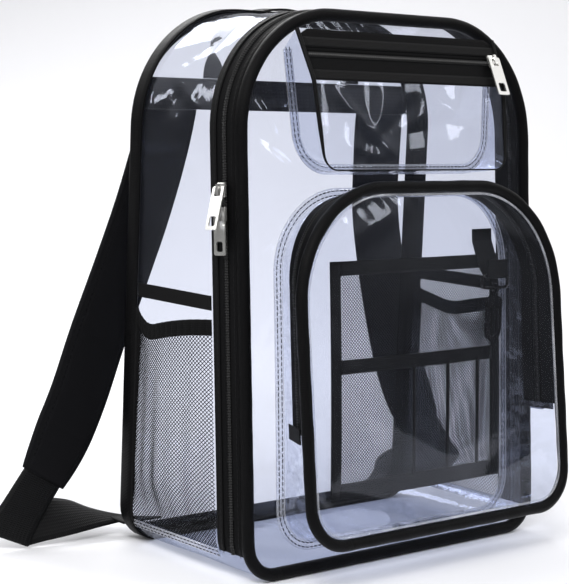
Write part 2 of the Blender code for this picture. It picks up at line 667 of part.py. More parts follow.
def build_organizer(parts, looks):
    left, right = ORGANIZER_LEFT, ORGANIZER_RIGHT
    on_sheet = lambda x, z: front_y(x, z) - SHEET / 2 - GAP - NET / 2
    on_net = lambda x, z: front_y(x, z) - SHEET / 2 - NET - 2 * GAP - BAND / 2
    patch("organizer_net", left, right, ORGANIZER_BASE, ORGANIZER_TOP, on_sheet, NET,
          looks["black_net"], parts, (6, 6))
    bands = {
        "base": (ORGANIZER_BASE, ORGANIZER_BASE_BAND),
        "middle": (ORGANIZER_MIDDLE, ORGANIZER_BAND),
        "top": (ORGANIZER_TOP - ORGANIZER_BAND, ORGANIZER_BAND),
    }
    inner_left = left + ORGANIZER_TRIM + GAP
    inner_right = right - ORGANIZER_TRIM - GAP
    for word, (low, height) in bands.items():
        patch("organizer_band_" + word, inner_left, inner_right, low, low + height, on_net, BAND,
              looks["black_trim"], parts, (1, 6))
    for word, start in (("left", left), ("right", right - ORGANIZER_TRIM)):
        patch("organizer_trim_" + word, start, start + ORGANIZER_TRIM, ORGANIZER_BASE, ORGANIZER_TOP,
              on_net, BAND, looks["black_trim"], parts, (6, 1))
    low = ORGANIZER_BASE + ORGANIZER_BASE_BAND + GAP
    for number, share in enumerate(DIVIDER_SHARES, 1):
        x = left + (right - left) * share
        patch(f"organizer_divider_{number}", x - DIVIDER / 2, x + DIVIDER / 2, low,
              ORGANIZER_MIDDLE - GAP, on_net, BAND, looks["black_trim"], parts, (4, 1))


def build_key_clip(parts, looks):
    # The strap hangs from the pocket's seam, folds round the ring and comes back up in front.
    def wall_y(z, off=0.0):
        return float(front_y(KEY_X, z)) - SHEET / 2 - GAP - BAND / 2 - off

    # Its top stays inside the rounded corner of the seam.
    arc = POCKET_SEAM["top_radius"] - 2 * SHEET
    reach = KEY_X + KEY_STRAP_WIDTH / 2 - POCKET_SEAM["half"] + POCKET_SEAM["top_radius"]
    strap_top = POCKET_SEAM["top"] - POCKET_SEAM["top_radius"] + math.sqrt(arc**2 - reach**2)
    ring_y = float(front_y(KEY_X, KEY_STRAP_BASE)) - KEY_STAND_OFF
    ring_z = KEY_STRAP_BASE + RING_WIRE + GAP + BAND
    bend = RING_WIRE + GAP + BAND / 2
    # It lies on the sheet down to the organizer, clears that, and then stands off to the ring.
    clear_z = ORGANIZER_TOP + BAND
    path = [(wall_y(z), z) for z in (strap_top, (strap_top + clear_z) / 2)]
    clear_y = wall_y(clear_z, NET + BAND + 4 * GAP)
    path.append((clear_y, clear_z))
    path.append((
        clear_y + (ring_y + bend - clear_y) * KEY_STRAP_BOW[0],
        clear_z + (ring_z - clear_z) * KEY_STRAP_BOW[1],
    ))
    path += [(ring_y + bend * math.cos(turn), ring_z - bend * math.sin(turn))
             for turn in np.linspace(0.0, math.pi, 7)]
    path.append((ring_y - bend + GAP, ring_z + RING_HEIGHT))
    path = np.array(path)
    near = np.clip((path[:, 1] - ring_z) / (strap_top - ring_z), 0.0, 1.0)
    columns = []
    for x in (KEY_X - KEY_STRAP_WIDTH / 2, KEY_X + KEY_STRAP_WIDTH / 2):
        turned = front_y(x, path[:, 1]) - front_y(KEY_X, path[:, 1])
        columns.append((x, path[:, 0] + near * turned, path[:, 1]))
    grid_object("key_strap", stack(*columns), BAND, looks["key_webbing"], parts)

    # A flat ring with round corners, whose top bar lies in the fold.
    reach = RING_LENGTH / 2 - RING_WIRE
    drop = RING_HEIGHT - 2 * RING_WIRE
    outline = rounded(-reach, reach, -drop, 0.0, RING_CORNER)
    points = np.array([(KEY_X + x, ring_y, ring_z + z) for x, z in outline])
    tube("key_ring", points, RING_WIRE, looks["black_plastic"], parts, closed=True, resolution=1)

    # The eye hangs on the ring's lower bar and the hook turns below it.
    eye_z = ring_z - drop - EYE_HOLE + RING_WIRE + GAP
    neck = EYE_RADIUS * 0.55
    foot = -EYE_RADIUS - HOOK_BAR / 2
    turn = math.asin(neck / EYE_RADIUS)
    outline = [(EYE_RADIUS * math.sin(a), EYE_RADIUS * math.cos(a))
               for a in np.linspace(-math.pi + turn, math.pi - turn, 16)]
    outline += [(neck, foot), (-neck, foot)]
    stand = Matrix(((0, 0, 1), (1, 0, 0), (0, 1, 0))).to_4x4()
    place = Matrix.Translation((KEY_X, ring_y, eye_z)) @ stand
    plate("swivel_eye", (outline, circle(0.0, 0.0, EYE_HOLE, 10)), HOOK_BAR * 0.75, place,
          looks["black_plastic"], parts)

    half = HOOK_WIDTH / 2
    inner = half - HOOK_BAR
    bend_z = -HOOK_LENGTH + half
    shoulder = -HOOK_BAR * 2.7
    mouth = shoulder - GATE_LENGTH - 2 * GAP
    turns = np.linspace(0.0, -math.pi, 9)
    outline = [(half * 0.5, 0.0), (half, -HOOK_BAR)]
    outline += [(half * math.cos(a), bend_z + half * math.sin(a)) for a in turns]
    outline += [(-half, mouth), (-inner, mouth)]
    outline += [(inner * math.cos(a), bend_z + inner * math.sin(a)) for a in turns[::-1]]
    outline += [(inner, shoulder - HOOK_BAR * 0.3), (inner - HOOK_BAR * 0.4, shoulder),
                (-half, shoulder), (-half, -HOOK_BAR), (-half * 0.5, 0.0)]
    top = eye_z + foot - GAP
    upright = Matrix(((1, 0, 0), (0, 0, -1), (0, 1, 0))).to_4x4()
    place = Matrix.Translation((KEY_X, ring_y, top)) @ upright
    plate("snap_hook", (outline[::-1],), HOOK_THICKNESS, place, looks["black_plastic"], parts)
    gate = rounded(-half + GAP, -inner - GAP, mouth + GAP, shoulder - GAP, HOOK_BAR * 0.3, 2)
    plate("hook_gate", (gate,), HOOK_THICKNESS * 0.8, place, looks["black_plastic"], parts)


def top_depth(z):
    heights, depths = zip(*TOP_PROFILE)
    return np.interp(z, heights, depths)


def top_side(shape, z):
    # Half the width of the top pocket's outline, tapered, with round lower corners.
    share = (z - shape["base"]) / (shape["top"] - shape["base"])
    straight = shape["half_base"] + (shape["half_top"] - shape["half_base"]) * share
    under = np.clip(shape["base"] + shape["radius"] - z, 0.0, shape["radius"])
    return straight - shape["radius"] + np.sqrt(shape["radius"] ** 2 - under**2)


def top_path(shape, grow=0.0):
    # From the top on the left, down, round the base and up to the top on the right.
    turn = np.linspace(math.pi / 2, 0.0, 6)
    z = np.concatenate([np.linspace(shape["top"], shape["base"] + shape["radius"], 5)[:-1],
                        shape["base"] + shape["radius"] * (1.0 - np.cos(turn))])
    x = top_side(shape, z)
    flat = np.linspace(-x[-1], x[-1], 6)[1:-1]
    x = np.concatenate([-x, flat, x[::-1]])
    z = np.concatenate([z, np.full(len(flat), z[-1]), z[::-1]])
    if grow:
        step = np.column_stack([np.gradient(x), np.gradient(z)])
        step /= np.linalg.norm(step, axis=1)[:, None]
        x = x + grow * step[:, 1]
        z = z - grow * step[:, 0]
    return x, z


def build_top_pocket(parts, cutters, looks):
    seam_x, seam_z = top_path(TOP_SEAM)
    face_x, face_z = top_path(TOP_FACE)
    out_x, out_z = top_path(TOP_SEAM, -FLANGE_WIDTH)
    lift = SHEET + 2 * GAP
    columns = [(x, front_y(x, z) - lift, z) for x, z in ((out_x, out_z), (seam_x, seam_z))]
    grid_object("top_flange", stack(*columns), SHEET, looks["clear_seam"], parts)

    start = front_y(seam_x, seam_z) - 2.5 * SHEET - 2 * GAP
    end = edge_y(face_z) - top_depth(face_z)
    rows = []
    for share in (0.0, 0.5, 1.0):
        rows.append((seam_x + (face_x - seam_x) * share, start + (end - start) * share,
                     seam_z + (face_z - seam_z) * share))
    grid_object("top_gusset", stack(*rows), SHEET, looks["clear_pocket_side"], parts)

    def face_y(x, z):
        return edge_y(z) - top_depth(z) + 0.0 * x

    def face_piece(name, heights, thickness, finish, columns=6):
        z = np.asarray(heights)[:, None]
        half = np.minimum(top_side(TOP_FACE, z), half_width(BODY, z, 2 * PIPING_RADIUS))
        half = half - SHEET / 2 - GAP - thickness
        x = half * np.linspace(-1.0, 1.0, columns + 1)[None, :]
        grid = np.stack([x, face_y(x, z), np.broadcast_to(z, x.shape)], axis=-1)
        grid_object(name, grid, thickness, finish, parts)

    radius = TOP_FACE["radius"]
    turn = np.linspace(math.pi / 6, math.pi / 2, 4)
    curved = TOP_FACE["base"] + radius * (1.0 - np.cos(turn))
    face_piece("top_face", np.concatenate([curved, [TOP_TAPE_LOW - GAP]]), SHEET, looks["clear_pocket"])
    coil_gap = COIL_RADIUS + GAP
    face_piece("top_tape_lower", (TOP_TAPE_LOW + GAP, TOP_COIL_HEIGHT - coil_gap), TAPE,
               looks["zip_tape_wide"])
    face_piece("top_tape_upper", (TOP_COIL_HEIGHT + coil_gap, TOP_FACE["top"]), TAPE,
               looks["zip_tape_wide"])
    half = float(top_side(TOP_FACE, TOP_COIL_HEIGHT)) - SHEET - 2 * GAP
    y = float(face_y(0.0, TOP_COIL_HEIGHT))
    points = np.array([(x, y, TOP_COIL_HEIGHT) for x in np.linspace(-half, half, 5)])
    tube("top_coil", points, COIL_RADIUS, looks["zip_coil"], parts, resolution=1)

    (_, _), (z0, d0), (z1, d1) = TOP_PROFILE
    slope = LEAN + (d0 - d1) / (z1 - z0)
    along = Vector((0.0, slope, 1.0)).normalized()
    out = along.cross(Vector((-1.0, 0.0, 0.0)))
    place = Vector((half - SLIDER_WIDTH, y, TOP_COIL_HEIGHT)) + out * (COIL_RADIUS + GAP)
    matrix = frame_matrix(place, along, (-1, 0, 0))
    bar_out = zip_slider("top_slider", matrix, looks["nickel"], parts, cutters)
    zip_pull("top_pull", matrix, bar_out, looks["nickel_pull"], parts)


def build_back(parts, looks):
    on_back = lambda x, z: back_y(x, z) + SHEET / 2 + GAP + WEBBING / 2
    z = np.array([ANCHOR_BASE, ANCHOR_BASE + ANCHOR_HEIGHT])
    half = half_width(BODY, z, BACK_WRAP_REAR) - ANCHOR_SET_IN
    columns = [(half * share, on_back(half * share, z), z) for share in np.linspace(-1.0, 1.0, 9)]
    grid_object("anchor_band", stack(*columns), WEBBING, looks["webbing"], parts)

    # The handle stands on the band: its ends lie flat on the back and it turns edge-on above.
    foot = ANCHOR_BASE + ANCHOR_HEIGHT + GAP
    reach = HANDLE_WIDTH / 2
    rows = []
    for turn in np.linspace(0.0, math.pi, 17):
        x = -HANDLE_HALF * math.cos(turn)
        z = foot + HANDLE_RISE * math.sin(turn)
        flat = math.exp(-((min(turn, math.pi - turn) / HANDLE_TURN) ** 2))
        across = Vector((math.copysign(flat, math.cos(turn)), 1.0 - flat)).normalized() * reach
        y = float(on_back(HANDLE_HALF - reach, foot)) + across.y + 2 * GAP * (1.0 - flat)
        rows.append((x, y, z, across.x, across.y))
    rows = np.array(rows)
    columns = [(rows[:, 0] + s * rows[:, 3], rows[:, 1] + s * rows[:, 4], rows[:, 2]) for s in (-1, 0, 1)]
    grid_object("grab_handle", stack(*columns), WEBBING, looks["webbing"], parts)

    # The pad hangs from the band and splays out; the webbing runs on to the floor and back.
    pad = np.array(PAD_PATH)
    top = ANCHOR_BASE - GAP
    inner = HALF * pad[0, 0] + PAD_WIDTH / 2
    seat = float(back_y(inner, top)) + SHEET / 2 + GAP + PAD_THICKNESS / 2
    centre = np.column_stack([pad[:, 0] * HALF, seat + pad[:, 1] * DEPTH_BASE, top * (1.0 - pad[:, 2])])
    way = np.gradient(centre, axis=0)
    across = np.column_stack([way[:, 2], np.zeros(len(way)), -way[:, 0]])
    across /= -np.linalg.norm(across, axis=1)[:, None]
    across[0] = (1.0, 0.0, 0.0)
    half = np.full(len(pad), PAD_WIDTH / 2)
    half[-1] *= PAD_END_SHARE
    end = centre[-1]
    onward = way[-1] / np.linalg.norm(way[-1])

    strap = np.array(WEBBING_PATH)
    hand = strap[:, 3:] / np.linalg.norm(strap[:, 3:], axis=1)[:, None] * STRAP_WIDTH / 2
    low = WEBBING / 2 + strap[:, 2] * end[2]
    behind = BACK_Y + BACK_WRAP / 2 + GAP + strap[:, 1] * DEPTH_BASE
    middle = np.column_stack([strap[:, 0] * HALF, behind, low - hand[:, 2]])
    middle = np.vstack([end + onward * 2 * GAP, middle])
    hand = np.vstack([across[-1] * STRAP_WIDTH / 2, hand])
    for word, side in (("left", 1.0), ("right", -1.0)):
        flip = np.array([side, 1.0, 1.0])
        columns = []
        for share in (-1.0, -0.4, 0.4, 1.0):
            points = (centre + across * (share * half)[:, None]) * flip
            columns.append(tuple(points.T))
        item = grid_object("strap_pad_" + word, stack(*columns), PAD_THICKNESS, looks["pad_cloth"], parts)
        edge = item.modifiers.new("Edge", "BEVEL")
        edge.width = PAD_THICKNESS * 0.3
        edge.segments = 1
        columns = [tuple(((middle + hand * share) * flip).T) for share in (-1.0, 0.0, 1.0)]
        item = grid_object("strap_webbing_" + word, stack(*columns), WEBBING, looks["webbing"], parts)
        item.modifiers["Wall"].use_even_offset = False


def build():
    for item in list(bpy.data.objects):
        bpy.data.objects.remove(item, do_unlink=True)
    parts = bpy.data.collections.new("clear_backpack")
    cutters = bpy.data.collections.new("cutters")
    bpy.context.scene.collection.children.link(parts)
    bpy.context.scene.collection.children.link(cutters)
    clear = (0.82, 0.85, 0.92)
    looks = {name: new_material(name, clear, 0.08, 0.0, 0.3) for name in (
        "clear_pvc", "clear_side", "clear_base", "clear_pocket", "clear_pocket_side", "clear_seam")}
    dark = (0.012, 0.012, 0.014)
    for name, roughness in (
        ("black_binding", 0.55), ("black_tape", 0.65), ("zip_tape", 0.75), ("zip_tape_wide", 0.75),
        ("zip_coil", 0.35), ("black_net", 0.7), ("elastic", 0.8), ("black_trim", 0.75),
        ("webbing", 0.7), ("key_webbing", 0.7), ("pad_cloth", 0.85), ("black_plastic", 0.35),
    ):
        looks[name] = new_material(name, dark, roughness)
    looks["nickel"] = new_material("nickel", (0.75, 0.74, 0.72), 0.25, 1.0)
    looks["nickel_pull"] = new_material("nickel_pull", (0.78, 0.77, 0.75), 0.2, 1.0)

    zip_end = build_body(parts, cutters, looks)
    build_side_pockets(parts, looks, zip_end)
    build_lower_pocket(parts, cutters, looks)
    build_organizer(parts, looks)
    build_key_clip(parts, looks)
    build_top_pocket(parts, cutters, looks)
    build_back(parts, looks)


build()
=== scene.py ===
import math

import bpy
import numpy as np
from mathutils import Matrix, Vector


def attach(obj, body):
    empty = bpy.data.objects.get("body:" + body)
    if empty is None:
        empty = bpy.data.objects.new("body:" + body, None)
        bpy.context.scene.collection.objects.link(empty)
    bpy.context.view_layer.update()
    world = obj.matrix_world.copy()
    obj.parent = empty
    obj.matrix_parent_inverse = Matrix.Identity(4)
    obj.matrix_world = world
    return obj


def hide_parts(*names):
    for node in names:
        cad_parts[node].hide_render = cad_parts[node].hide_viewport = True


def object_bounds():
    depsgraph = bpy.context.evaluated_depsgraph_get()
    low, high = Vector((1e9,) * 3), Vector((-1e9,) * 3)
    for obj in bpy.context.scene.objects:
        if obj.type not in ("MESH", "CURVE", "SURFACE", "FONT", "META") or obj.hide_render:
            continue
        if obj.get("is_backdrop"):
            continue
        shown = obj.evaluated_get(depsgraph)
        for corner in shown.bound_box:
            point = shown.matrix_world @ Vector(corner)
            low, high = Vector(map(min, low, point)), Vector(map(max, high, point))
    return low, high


# The visual model of the clear backpack. Metres, +Z up, the front faces -Y, as in the frame.
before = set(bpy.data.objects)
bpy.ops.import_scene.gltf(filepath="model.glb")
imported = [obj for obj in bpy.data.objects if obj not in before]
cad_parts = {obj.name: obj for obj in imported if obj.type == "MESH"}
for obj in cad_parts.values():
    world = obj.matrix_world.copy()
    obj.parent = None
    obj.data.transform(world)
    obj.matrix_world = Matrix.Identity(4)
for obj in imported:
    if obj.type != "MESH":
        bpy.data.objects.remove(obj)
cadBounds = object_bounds()

bag = {
    "height": 0.430, "half": 0.160, "backY": 0.080, "lean": 0.036 / 0.430, "baseRadius": 0.030,
    "frontCrown": 0.005, "backCrown": 0.004, "backSink": 0.00195, "skinInset": 0.0030, "piping": 0.0050,
    "zipStart": 0.0053, "zipFront": 0.0085, "coil": 0.0022, "coilGap": 0.0003, "zipRear": 0.0142,
    "wrapRear": 0.0110, "turnUp": 0.0203, "underBinding": 0.0042, "step": 0.004, "flatWall": 0.0009,
    "foldWall": 0.0007,
}
# Outlines with rounded corners: half width, base and top, and the corners' radii.
body = {"half": 0.160, "base": 0.0, "top": 0.430, "topRadius": 0.096, "baseRadius": 0.030}
pocketSeam = {"half": 0.120, "base": 0.027, "top": 0.286, "topRadius": 0.056, "baseRadius": 0.026}
pocketFace = {"half": 0.140, "base": 0.036, "top": 0.297, "topRadius": 0.088, "baseRadius": 0.032}


def linear(text):
    # An sRGB hex colour as linear red, green, blue.
    parts = np.array([int(text[i:i + 2], 16) for i in (1, 3, 5)]) / 255
    parts = np.where(parts <= 0.04045, parts / 12.92, ((parts + 0.055) / 1.055) ** 2.4)
    return (*parts.tolist(), 1.0)


def addNode(tree, kind, inputs=None, **settings):
    # A node of a kind: settings are its own, inputs are values or sockets by name or number.
    node = tree.nodes.new(kind)
    for key, value in settings.items():
        setattr(node, key, value)
    for key, value in (inputs or {}).items():
        if isinstance(value, bpy.types.NodeSocket):
            tree.links.new(value, node.inputs[key])
        else:
            node.inputs[key].default_value = value
    return node


def newMaterial(name):
    material = bpy.data.materials.new(name)
    material.use_nodes = True
    tree = material.node_tree
    shader = tree.nodes["Principled BSDF"]
    return material, tree, shader


def ripple(tree, value, pitch):
    # A wave of 0 to 1 along a coordinate in metres.
    scaled = addNode(tree, "ShaderNodeMath", {0: value, 1: 2 * math.pi / pitch}, operation="MULTIPLY")
    wave = addNode(tree, "ShaderNodeMath", {0: scaled.outputs[0]}, operation="SINE")
    lifted = addNode(tree, "ShaderNodeMath", {0: wave.outputs[0], 1: 0.5, 2: 0.5}, operation="MULTIPLY_ADD")
    return lifted.outputs[0]


def product(tree, first, second, operation="MULTIPLY"):
    return addNode(tree, "ShaderNodeMath", {0: first, 1: second}, operation=operation).outputs[0]


def clearFilm(name, tint, haze, rim, creaseMm=22.0, depth=0.0009, mirror=0.045, colour="#dfe4f3", metal=0.85):
    # PVC film: it passes light with a cool tint, mirrors a little and more where it turns away, breaks
    # its glare up in shallow ripples and holds a faint haze in soft clouds.
    material, tree, shader = newMaterial("clear PVC film, " + name)
    place = addNode(tree, "ShaderNodeTexCoord").outputs["Object"]
    broad = addNode(tree, "ShaderNodeTexNoise",
                    {"Vector": place, "Scale": 1000 / creaseMm, "Detail": 3.0, "Distortion": 0.8})
    fine = addNode(tree, "ShaderNodeTexNoise", {"Vector": place, "Scale": 1000 / 7.0, "Detail": 1.0})
    height = product(tree, broad.outputs["Fac"], product(tree, fine.outputs["Fac"], 0.10), "ADD")
    bump = addNode(tree, "ShaderNodeBump", {"Height": height, "Strength": 0.6, "Distance": depth})
    clouds = addNode(tree, "ShaderNodeTexNoise", {"Vector": place, "Scale": 1000 / 55.0, "Detail": 2.0})
    milk = addNode(tree, "ShaderNodeMapRange",
                   {"Value": clouds.outputs["Fac"], "From Min": 0.4, "From Max": 0.7, "To Min": mirror,
                    "To Max": mirror + haze})
    turned = addNode(tree, "ShaderNodeLayerWeight", {"Blend": 0.5, "Normal": bump.outputs[0]})
    edge = product(tree, product(tree, turned.outputs["Facing"], 3.0, "POWER"), rim)
    share = product(tree, milk.outputs[0], edge, "ADD")
    tree.links.new(bump.outputs[0], shader.inputs["Normal"])
    shader.inputs["Base Color"].default_value = linear(colour)
    shader.inputs["Metallic"].default_value = metal
    shader.inputs["Roughness"].default_value = 0.07
    clear = addNode(tree, "ShaderNodeBsdfTransparent", {"Color": linear(tint)})
    film = addNode(tree, "ShaderNodeMixShader", {0: share, 1: clear.outputs[0], 2: shader.outputs[0]})
    tree.links.new(film.outputs[0], tree.nodes["Material Output"].inputs["Surface"])
    return material


def wovenCloth(name, colour, along, across, depth, roughness, shine=0.10):
    # Woven tape: ribs along and across from the piece's own UV in metres give it a dull, lined look.
    material, tree, shader = newMaterial(name)
    place = addNode(tree, "ShaderNodeTexCoord").outputs["UV"]
    parts = addNode(tree, "ShaderNodeSeparateXYZ", {0: place})
    weave = product(tree, ripple(tree, parts.outputs["X"], along), ripple(tree, parts.outputs["Y"], across))
    bump = addNode(tree, "ShaderNodeBump", {"Height": weave, "Strength": 0.8, "Distance": depth})
    dark = linear(colour)
    light = tuple(c * 1.9 + 0.001 for c in dark[:3]) + (1.0,)
    tint = addNode(tree, "ShaderNodeMix", {"Factor": weave, 6: dark, 7: light}, data_type="RGBA")
    tree.links.new(tint.outputs[2], shader.inputs["Base Color"])
    tree.links.new(bump.outputs[0], shader.inputs["Normal"])
    shader.inputs["Roughness"].default_value = roughness
    shader.inputs["Specular IOR Level"].default_value = shine
    return material


def plainMaterial(name, colour, roughness, metallic=0.0, grainMm=0.8, grain=0.0, shine=0.5):
    # Moulded, plated or knitted: a fine grain roughens the shine.
    material, tree, shader = newMaterial(name)
    place = addNode(tree, "ShaderNodeTexCoord").outputs["Object"]
    noise = addNode(tree, "ShaderNodeTexNoise", {"Vector": place, "Scale": 1000 / grainMm, "Detail": 2.0})
    bump = addNode(tree, "ShaderNodeBump",
                   {"Height": noise.outputs["Fac"], "Strength": 0.4, "Distance": grain})
    tree.links.new(bump.outputs[0], shader.inputs["Normal"])
    shader.inputs["Base Color"].default_value = linear(colour)
    shader.inputs["Roughness"].default_value = roughness
    shader.inputs["Metallic"].default_value = metallic
    shader.inputs["Specular IOR Level"].default_value = shine
    return material


looks = {
    "film": clearFilm("pressed sheet", "#ebedf3", 0.014, 0.36, 46.0, 0.0006, 0.038),
    "sideFilm": clearFilm("bent side", "#eaecf2", 0.018, 0.34, 30.0, 0.0008, 0.044),
    "pocketFilm": clearFilm("pocket face", "#ebedf3", 0.010, 0.34, 56.0, 0.0005, 0.034),
    "gussetFilm": clearFilm("pocket side", "#e6eaf5", 0.040, 0.60, 16.0, 0.0012, 0.065),
    "seamFilm": clearFilm("stitched double seam", "#eceef4", 0.260, 0.35, 10.0, 0.0008, 0.120, "#f6f7fa",
                          0.25),
    "baseFilm": clearFilm("base sheet", "#e2e6f0", 0.050, 0.45, 24.0, 0.0009, 0.060),
    "binding": wovenCloth("woven binding tape, sewn round the seam", "#070708", 0.0012, 0.0009, 0.0002, 0.36,
                          0.06),
    "tape": wovenCloth("woven zipper tape", "#080809", 0.0010, 0.0008, 0.00015, 0.6, 0.06),
    "webbing": wovenCloth("ribbed polypropylene webbing", "#0b0b0c", 0.0017, 0.0030, 0.0003, 0.5, 0.12),
    "trim": wovenCloth("woven edge trim", "#0a0a0b", 0.0011, 0.0011, 0.00015, 0.55, 0.10),
    "elastic": wovenCloth("woven elastic", "#0a0a0b", 0.0016, 0.0008, 0.0002, 0.6, 0.08),
    "pad": wovenCloth("woven polyester over foam", "#0c0c0e", 0.0009, 0.0009, 0.00012, 0.7, 0.08),
    "net": plainMaterial("knitted polyester mesh", "#08080a", 0.6, shine=0.08),
    "coil": plainMaterial("moulded nylon coil", "#0b0b0c", 0.42, shine=0.32),
    "plastic": plainMaterial("moulded black acetal", "#08080a", 0.24, 0.0, 1.5, 0.00004, 0.35),
    "nickel": plainMaterial("die-cast zinc with bright nickel plate", "#e6e5e2", 0.24, 0.85, 3.0, 0.00002),
    "thread": plainMaterial("bonded polyester thread", "#0b0b0d", 0.5, shine=0.15),
}


def unit(vectors):
    return vectors / np.linalg.norm(vectors, axis=1)[:, None]


def distances(steps):
    # How far along a path each point lies, from the lengths of its steps.
    return np.concatenate([[0.0], np.cumsum(steps)])


def stepLengths(path):
    return np.linalg.norm(np.diff(path, axis=0), axis=1)


def joined(x, y, z):
    return np.stack(np.broadcast_arrays(x, y, z), axis=-1)


def bothSides(x, z, count):
    # From one side's points over to their mirror images, level between the two at the last height.
    flat = np.linspace(-x[-1], x[-1], count)[1:-1]
    return np.concatenate([-x, flat, x[::-1]]), np.concatenate([z, np.full(len(flat), z[-1]), z[::-1]])


def halfWidth(shape, z, inset=0.0):
    # Half the width of a round-cornered outline at a height.
    z = np.asarray(z, dtype=float)
    low = shape["base"] + shape["baseRadius"]
    high = shape["top"] - shape["topRadius"]
    baseArc = shape["baseRadius"] - inset
    topArc = shape["topRadius"] - inset
    below = shape["half"] - shape["baseRadius"] + np.sqrt(baseArc**2 - np.clip(low - z, 0.0, baseArc) ** 2)
    above = shape["half"] - shape["topRadius"] + np.sqrt(topArc**2 - np.clip(z - high, 0.0, topArc) ** 2)
    return np.where(z < low, below, np.where(z > high, above, shape["half"] - inset))


def edgeY(z):
    # Depth of the bag's front edge: the front leans back.
    return -bag["backY"] + bag["lean"] * np.asarray(z, dtype=float)


def swell(x, z, half, low, high):
    # From 0 at a sheet's edge to 1 in its middle, smooth at both.
    across = np.clip(1.0 - (np.asarray(x) / half) ** 2, 0.0, 1.0)
    share = (z - low) / (high - low)
    middle = across * np.clip(4.0 * share * (1.0 - share), 0.0, 1.0)
    return middle * middle * (3.0 - 2.0 * middle)


def frontY(x, z):
    return edgeY(z) - bag["frontCrown"] * swell(x, z, bag["half"], 0.0, bag["height"])


def backY(x, z):
    return bag["backY"] - bag["backSink"] + bag["backCrown"] * swell(x, z, bag["half"], 0.0, bag["height"])


def sideHeights(shape, inset, count, low=None):
    # Heights up one side, spaced evenly along the outline.
    baseArc, topArc = shape["baseRadius"] - inset, shape["topRadius"] - inset
    lowCentre, highCentre = shape["base"] + shape["baseRadius"], shape["top"] - shape["topRadius"]
    turn = np.linspace(0.0, math.pi / 2, 60)
    z = np.concatenate([lowCentre - baseArc * np.cos(turn), highCentre + topArc * np.sin(turn)])
    if low is not None:
        z = np.concatenate([[low], z[z > low + 1e-6]])
    x = halfWidth(shape, z, inset)
    way = distances(np.hypot(np.diff(x), np.diff(z)))
    return np.interp(np.linspace(0.0, way[-1], count), way, z)


def arch(shape, inset, low, side=70, top=25):
    # From a height on the left, over the top, down to it on the right.
    z = sideHeights(shape, inset, side, low)
    return bothSides(halfWidth(shape, z, inset), z, top)


def loop(shape, inset, side=90, top=25, floor=41):
    # The whole outline as a ring.
    z = sideHeights(shape, inset, side)
    x = halfWidth(shape, z, inset)
    under = np.linspace(x[0], -x[0], floor)[1:-1]
    overX, overZ = bothSides(x, z, top)
    return np.concatenate([overX, under]), np.concatenate([overZ, np.full(len(under), z[0])])


def stack(*columns):
    # Columns of x, y, z side by side as a grid of points.
    return np.stack([joined(*column) for column in columns], axis=1)


def showPiece(name, points, faces, look, uv=None, node=None, slotName=None):
    # A mesh from whole arrays, which rides on the bag and stands for its CAD node.
    mesh = bpy.data.meshes.new(name)
    count, corners = faces.shape
    mesh.vertices.add(len(points))
    mesh.vertices.foreach_set("co", np.ascontiguousarray(points, dtype=np.float32).ravel())
    mesh.loops.add(count * corners)
    mesh.loops.foreach_set("vertex_index", faces.astype(np.int32).ravel())
    mesh.polygons.add(count)
    mesh.polygons.foreach_set("loop_start", np.arange(0, count * corners, corners, dtype=np.int32))
    mesh.update(calc_edges=True)
    mesh.polygons.foreach_set("use_smooth", np.ones(count, dtype=bool))
    if uv is not None:
        layer = mesh.uv_layers.new(name="metres")
        layer.data.foreach_set("uv", uv.astype(np.float32).ravel())
    mesh.materials.append(looks[look])
    piece = bpy.data.objects.new(name, mesh)
    bpy.context.scene.collection.objects.link(piece)
    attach(piece, "bag")
    if node:
        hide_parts(node)
    return piece


def gridFaces(rows, columns, ringRows=False, ringColumns=False, flip=False):
    row = np.arange(rows if ringRows else rows - 1)[:, None]
    column = np.arange(columns if ringColumns else columns - 1)[None, :]
    nextRow, nextColumn = (row + 1) % rows, (column + 1) % columns
    corners = [row * columns + column, row * columns + nextColumn,
               nextRow * columns + nextColumn, nextRow * columns + column]
    shape = np.broadcast_shapes(row.shape, column.shape)
    faces = np.stack([np.broadcast_to(c, shape) for c in corners], axis=-1).reshape(-1, 4)
    return faces[:, ::-1] if flip else faces


def surface(name, grid, look, ringRows=False, ringColumns=False, flip=False, wall=0.0, **ties):
    # A sheet or a swept section through a grid of points, with its UV in metres.
    rows, columns = grid.shape[:2]
    faces = gridFaces(rows, columns, ringRows, ringColumns, flip)
    along = distances(np.linalg.norm(np.diff(grid, axis=0), axis=2).mean(axis=1))
    across = distances(np.linalg.norm(np.diff(grid, axis=1), axis=2).mean(axis=0))
    flat = np.stack([np.repeat(along, columns), np.tile(across, rows)], axis=1)
    piece = showPiece(name, grid.reshape(-1, 3), faces, look, flat[faces.ravel()], **ties)
    if wall:
        solid = piece.modifiers.new("Wall", "SOLIDIFY")
        solid.thickness = wall
        solid.offset = 0.0
    return piece


def section(path, width, height, sides, toward=(0.0, 1.0, 0.0), ring=False):
    # Points of a rounded section swept along a path; its width lies along the direction given.
    path = np.asarray(path, dtype=float)
    if ring:
        way = np.roll(path, -1, axis=0) - np.roll(path, 1, axis=0)
    else:
        way = np.gradient(path, axis=0)
    way = unit(way)
    side = np.broadcast_to(np.asarray(toward, dtype=float), path.shape)
    side = unit(side - way * np.sum(side * way, axis=1)[:, None])
    out = np.cross(way, side)
    turn = np.linspace(0.0, 2 * math.pi, sides, endpoint=False)
    width = np.broadcast_to(np.asarray(width, dtype=float), len(path))
    height = np.broadcast_to(np.asarray(height, dtype=float), len(path))
    return (path[:, None, :] + side[:, None, :] * (np.cos(turn)[None, :] * width[:, None])[..., None]
            + out[:, None, :] * (np.sin(turn)[None, :] * height[:, None])[..., None])


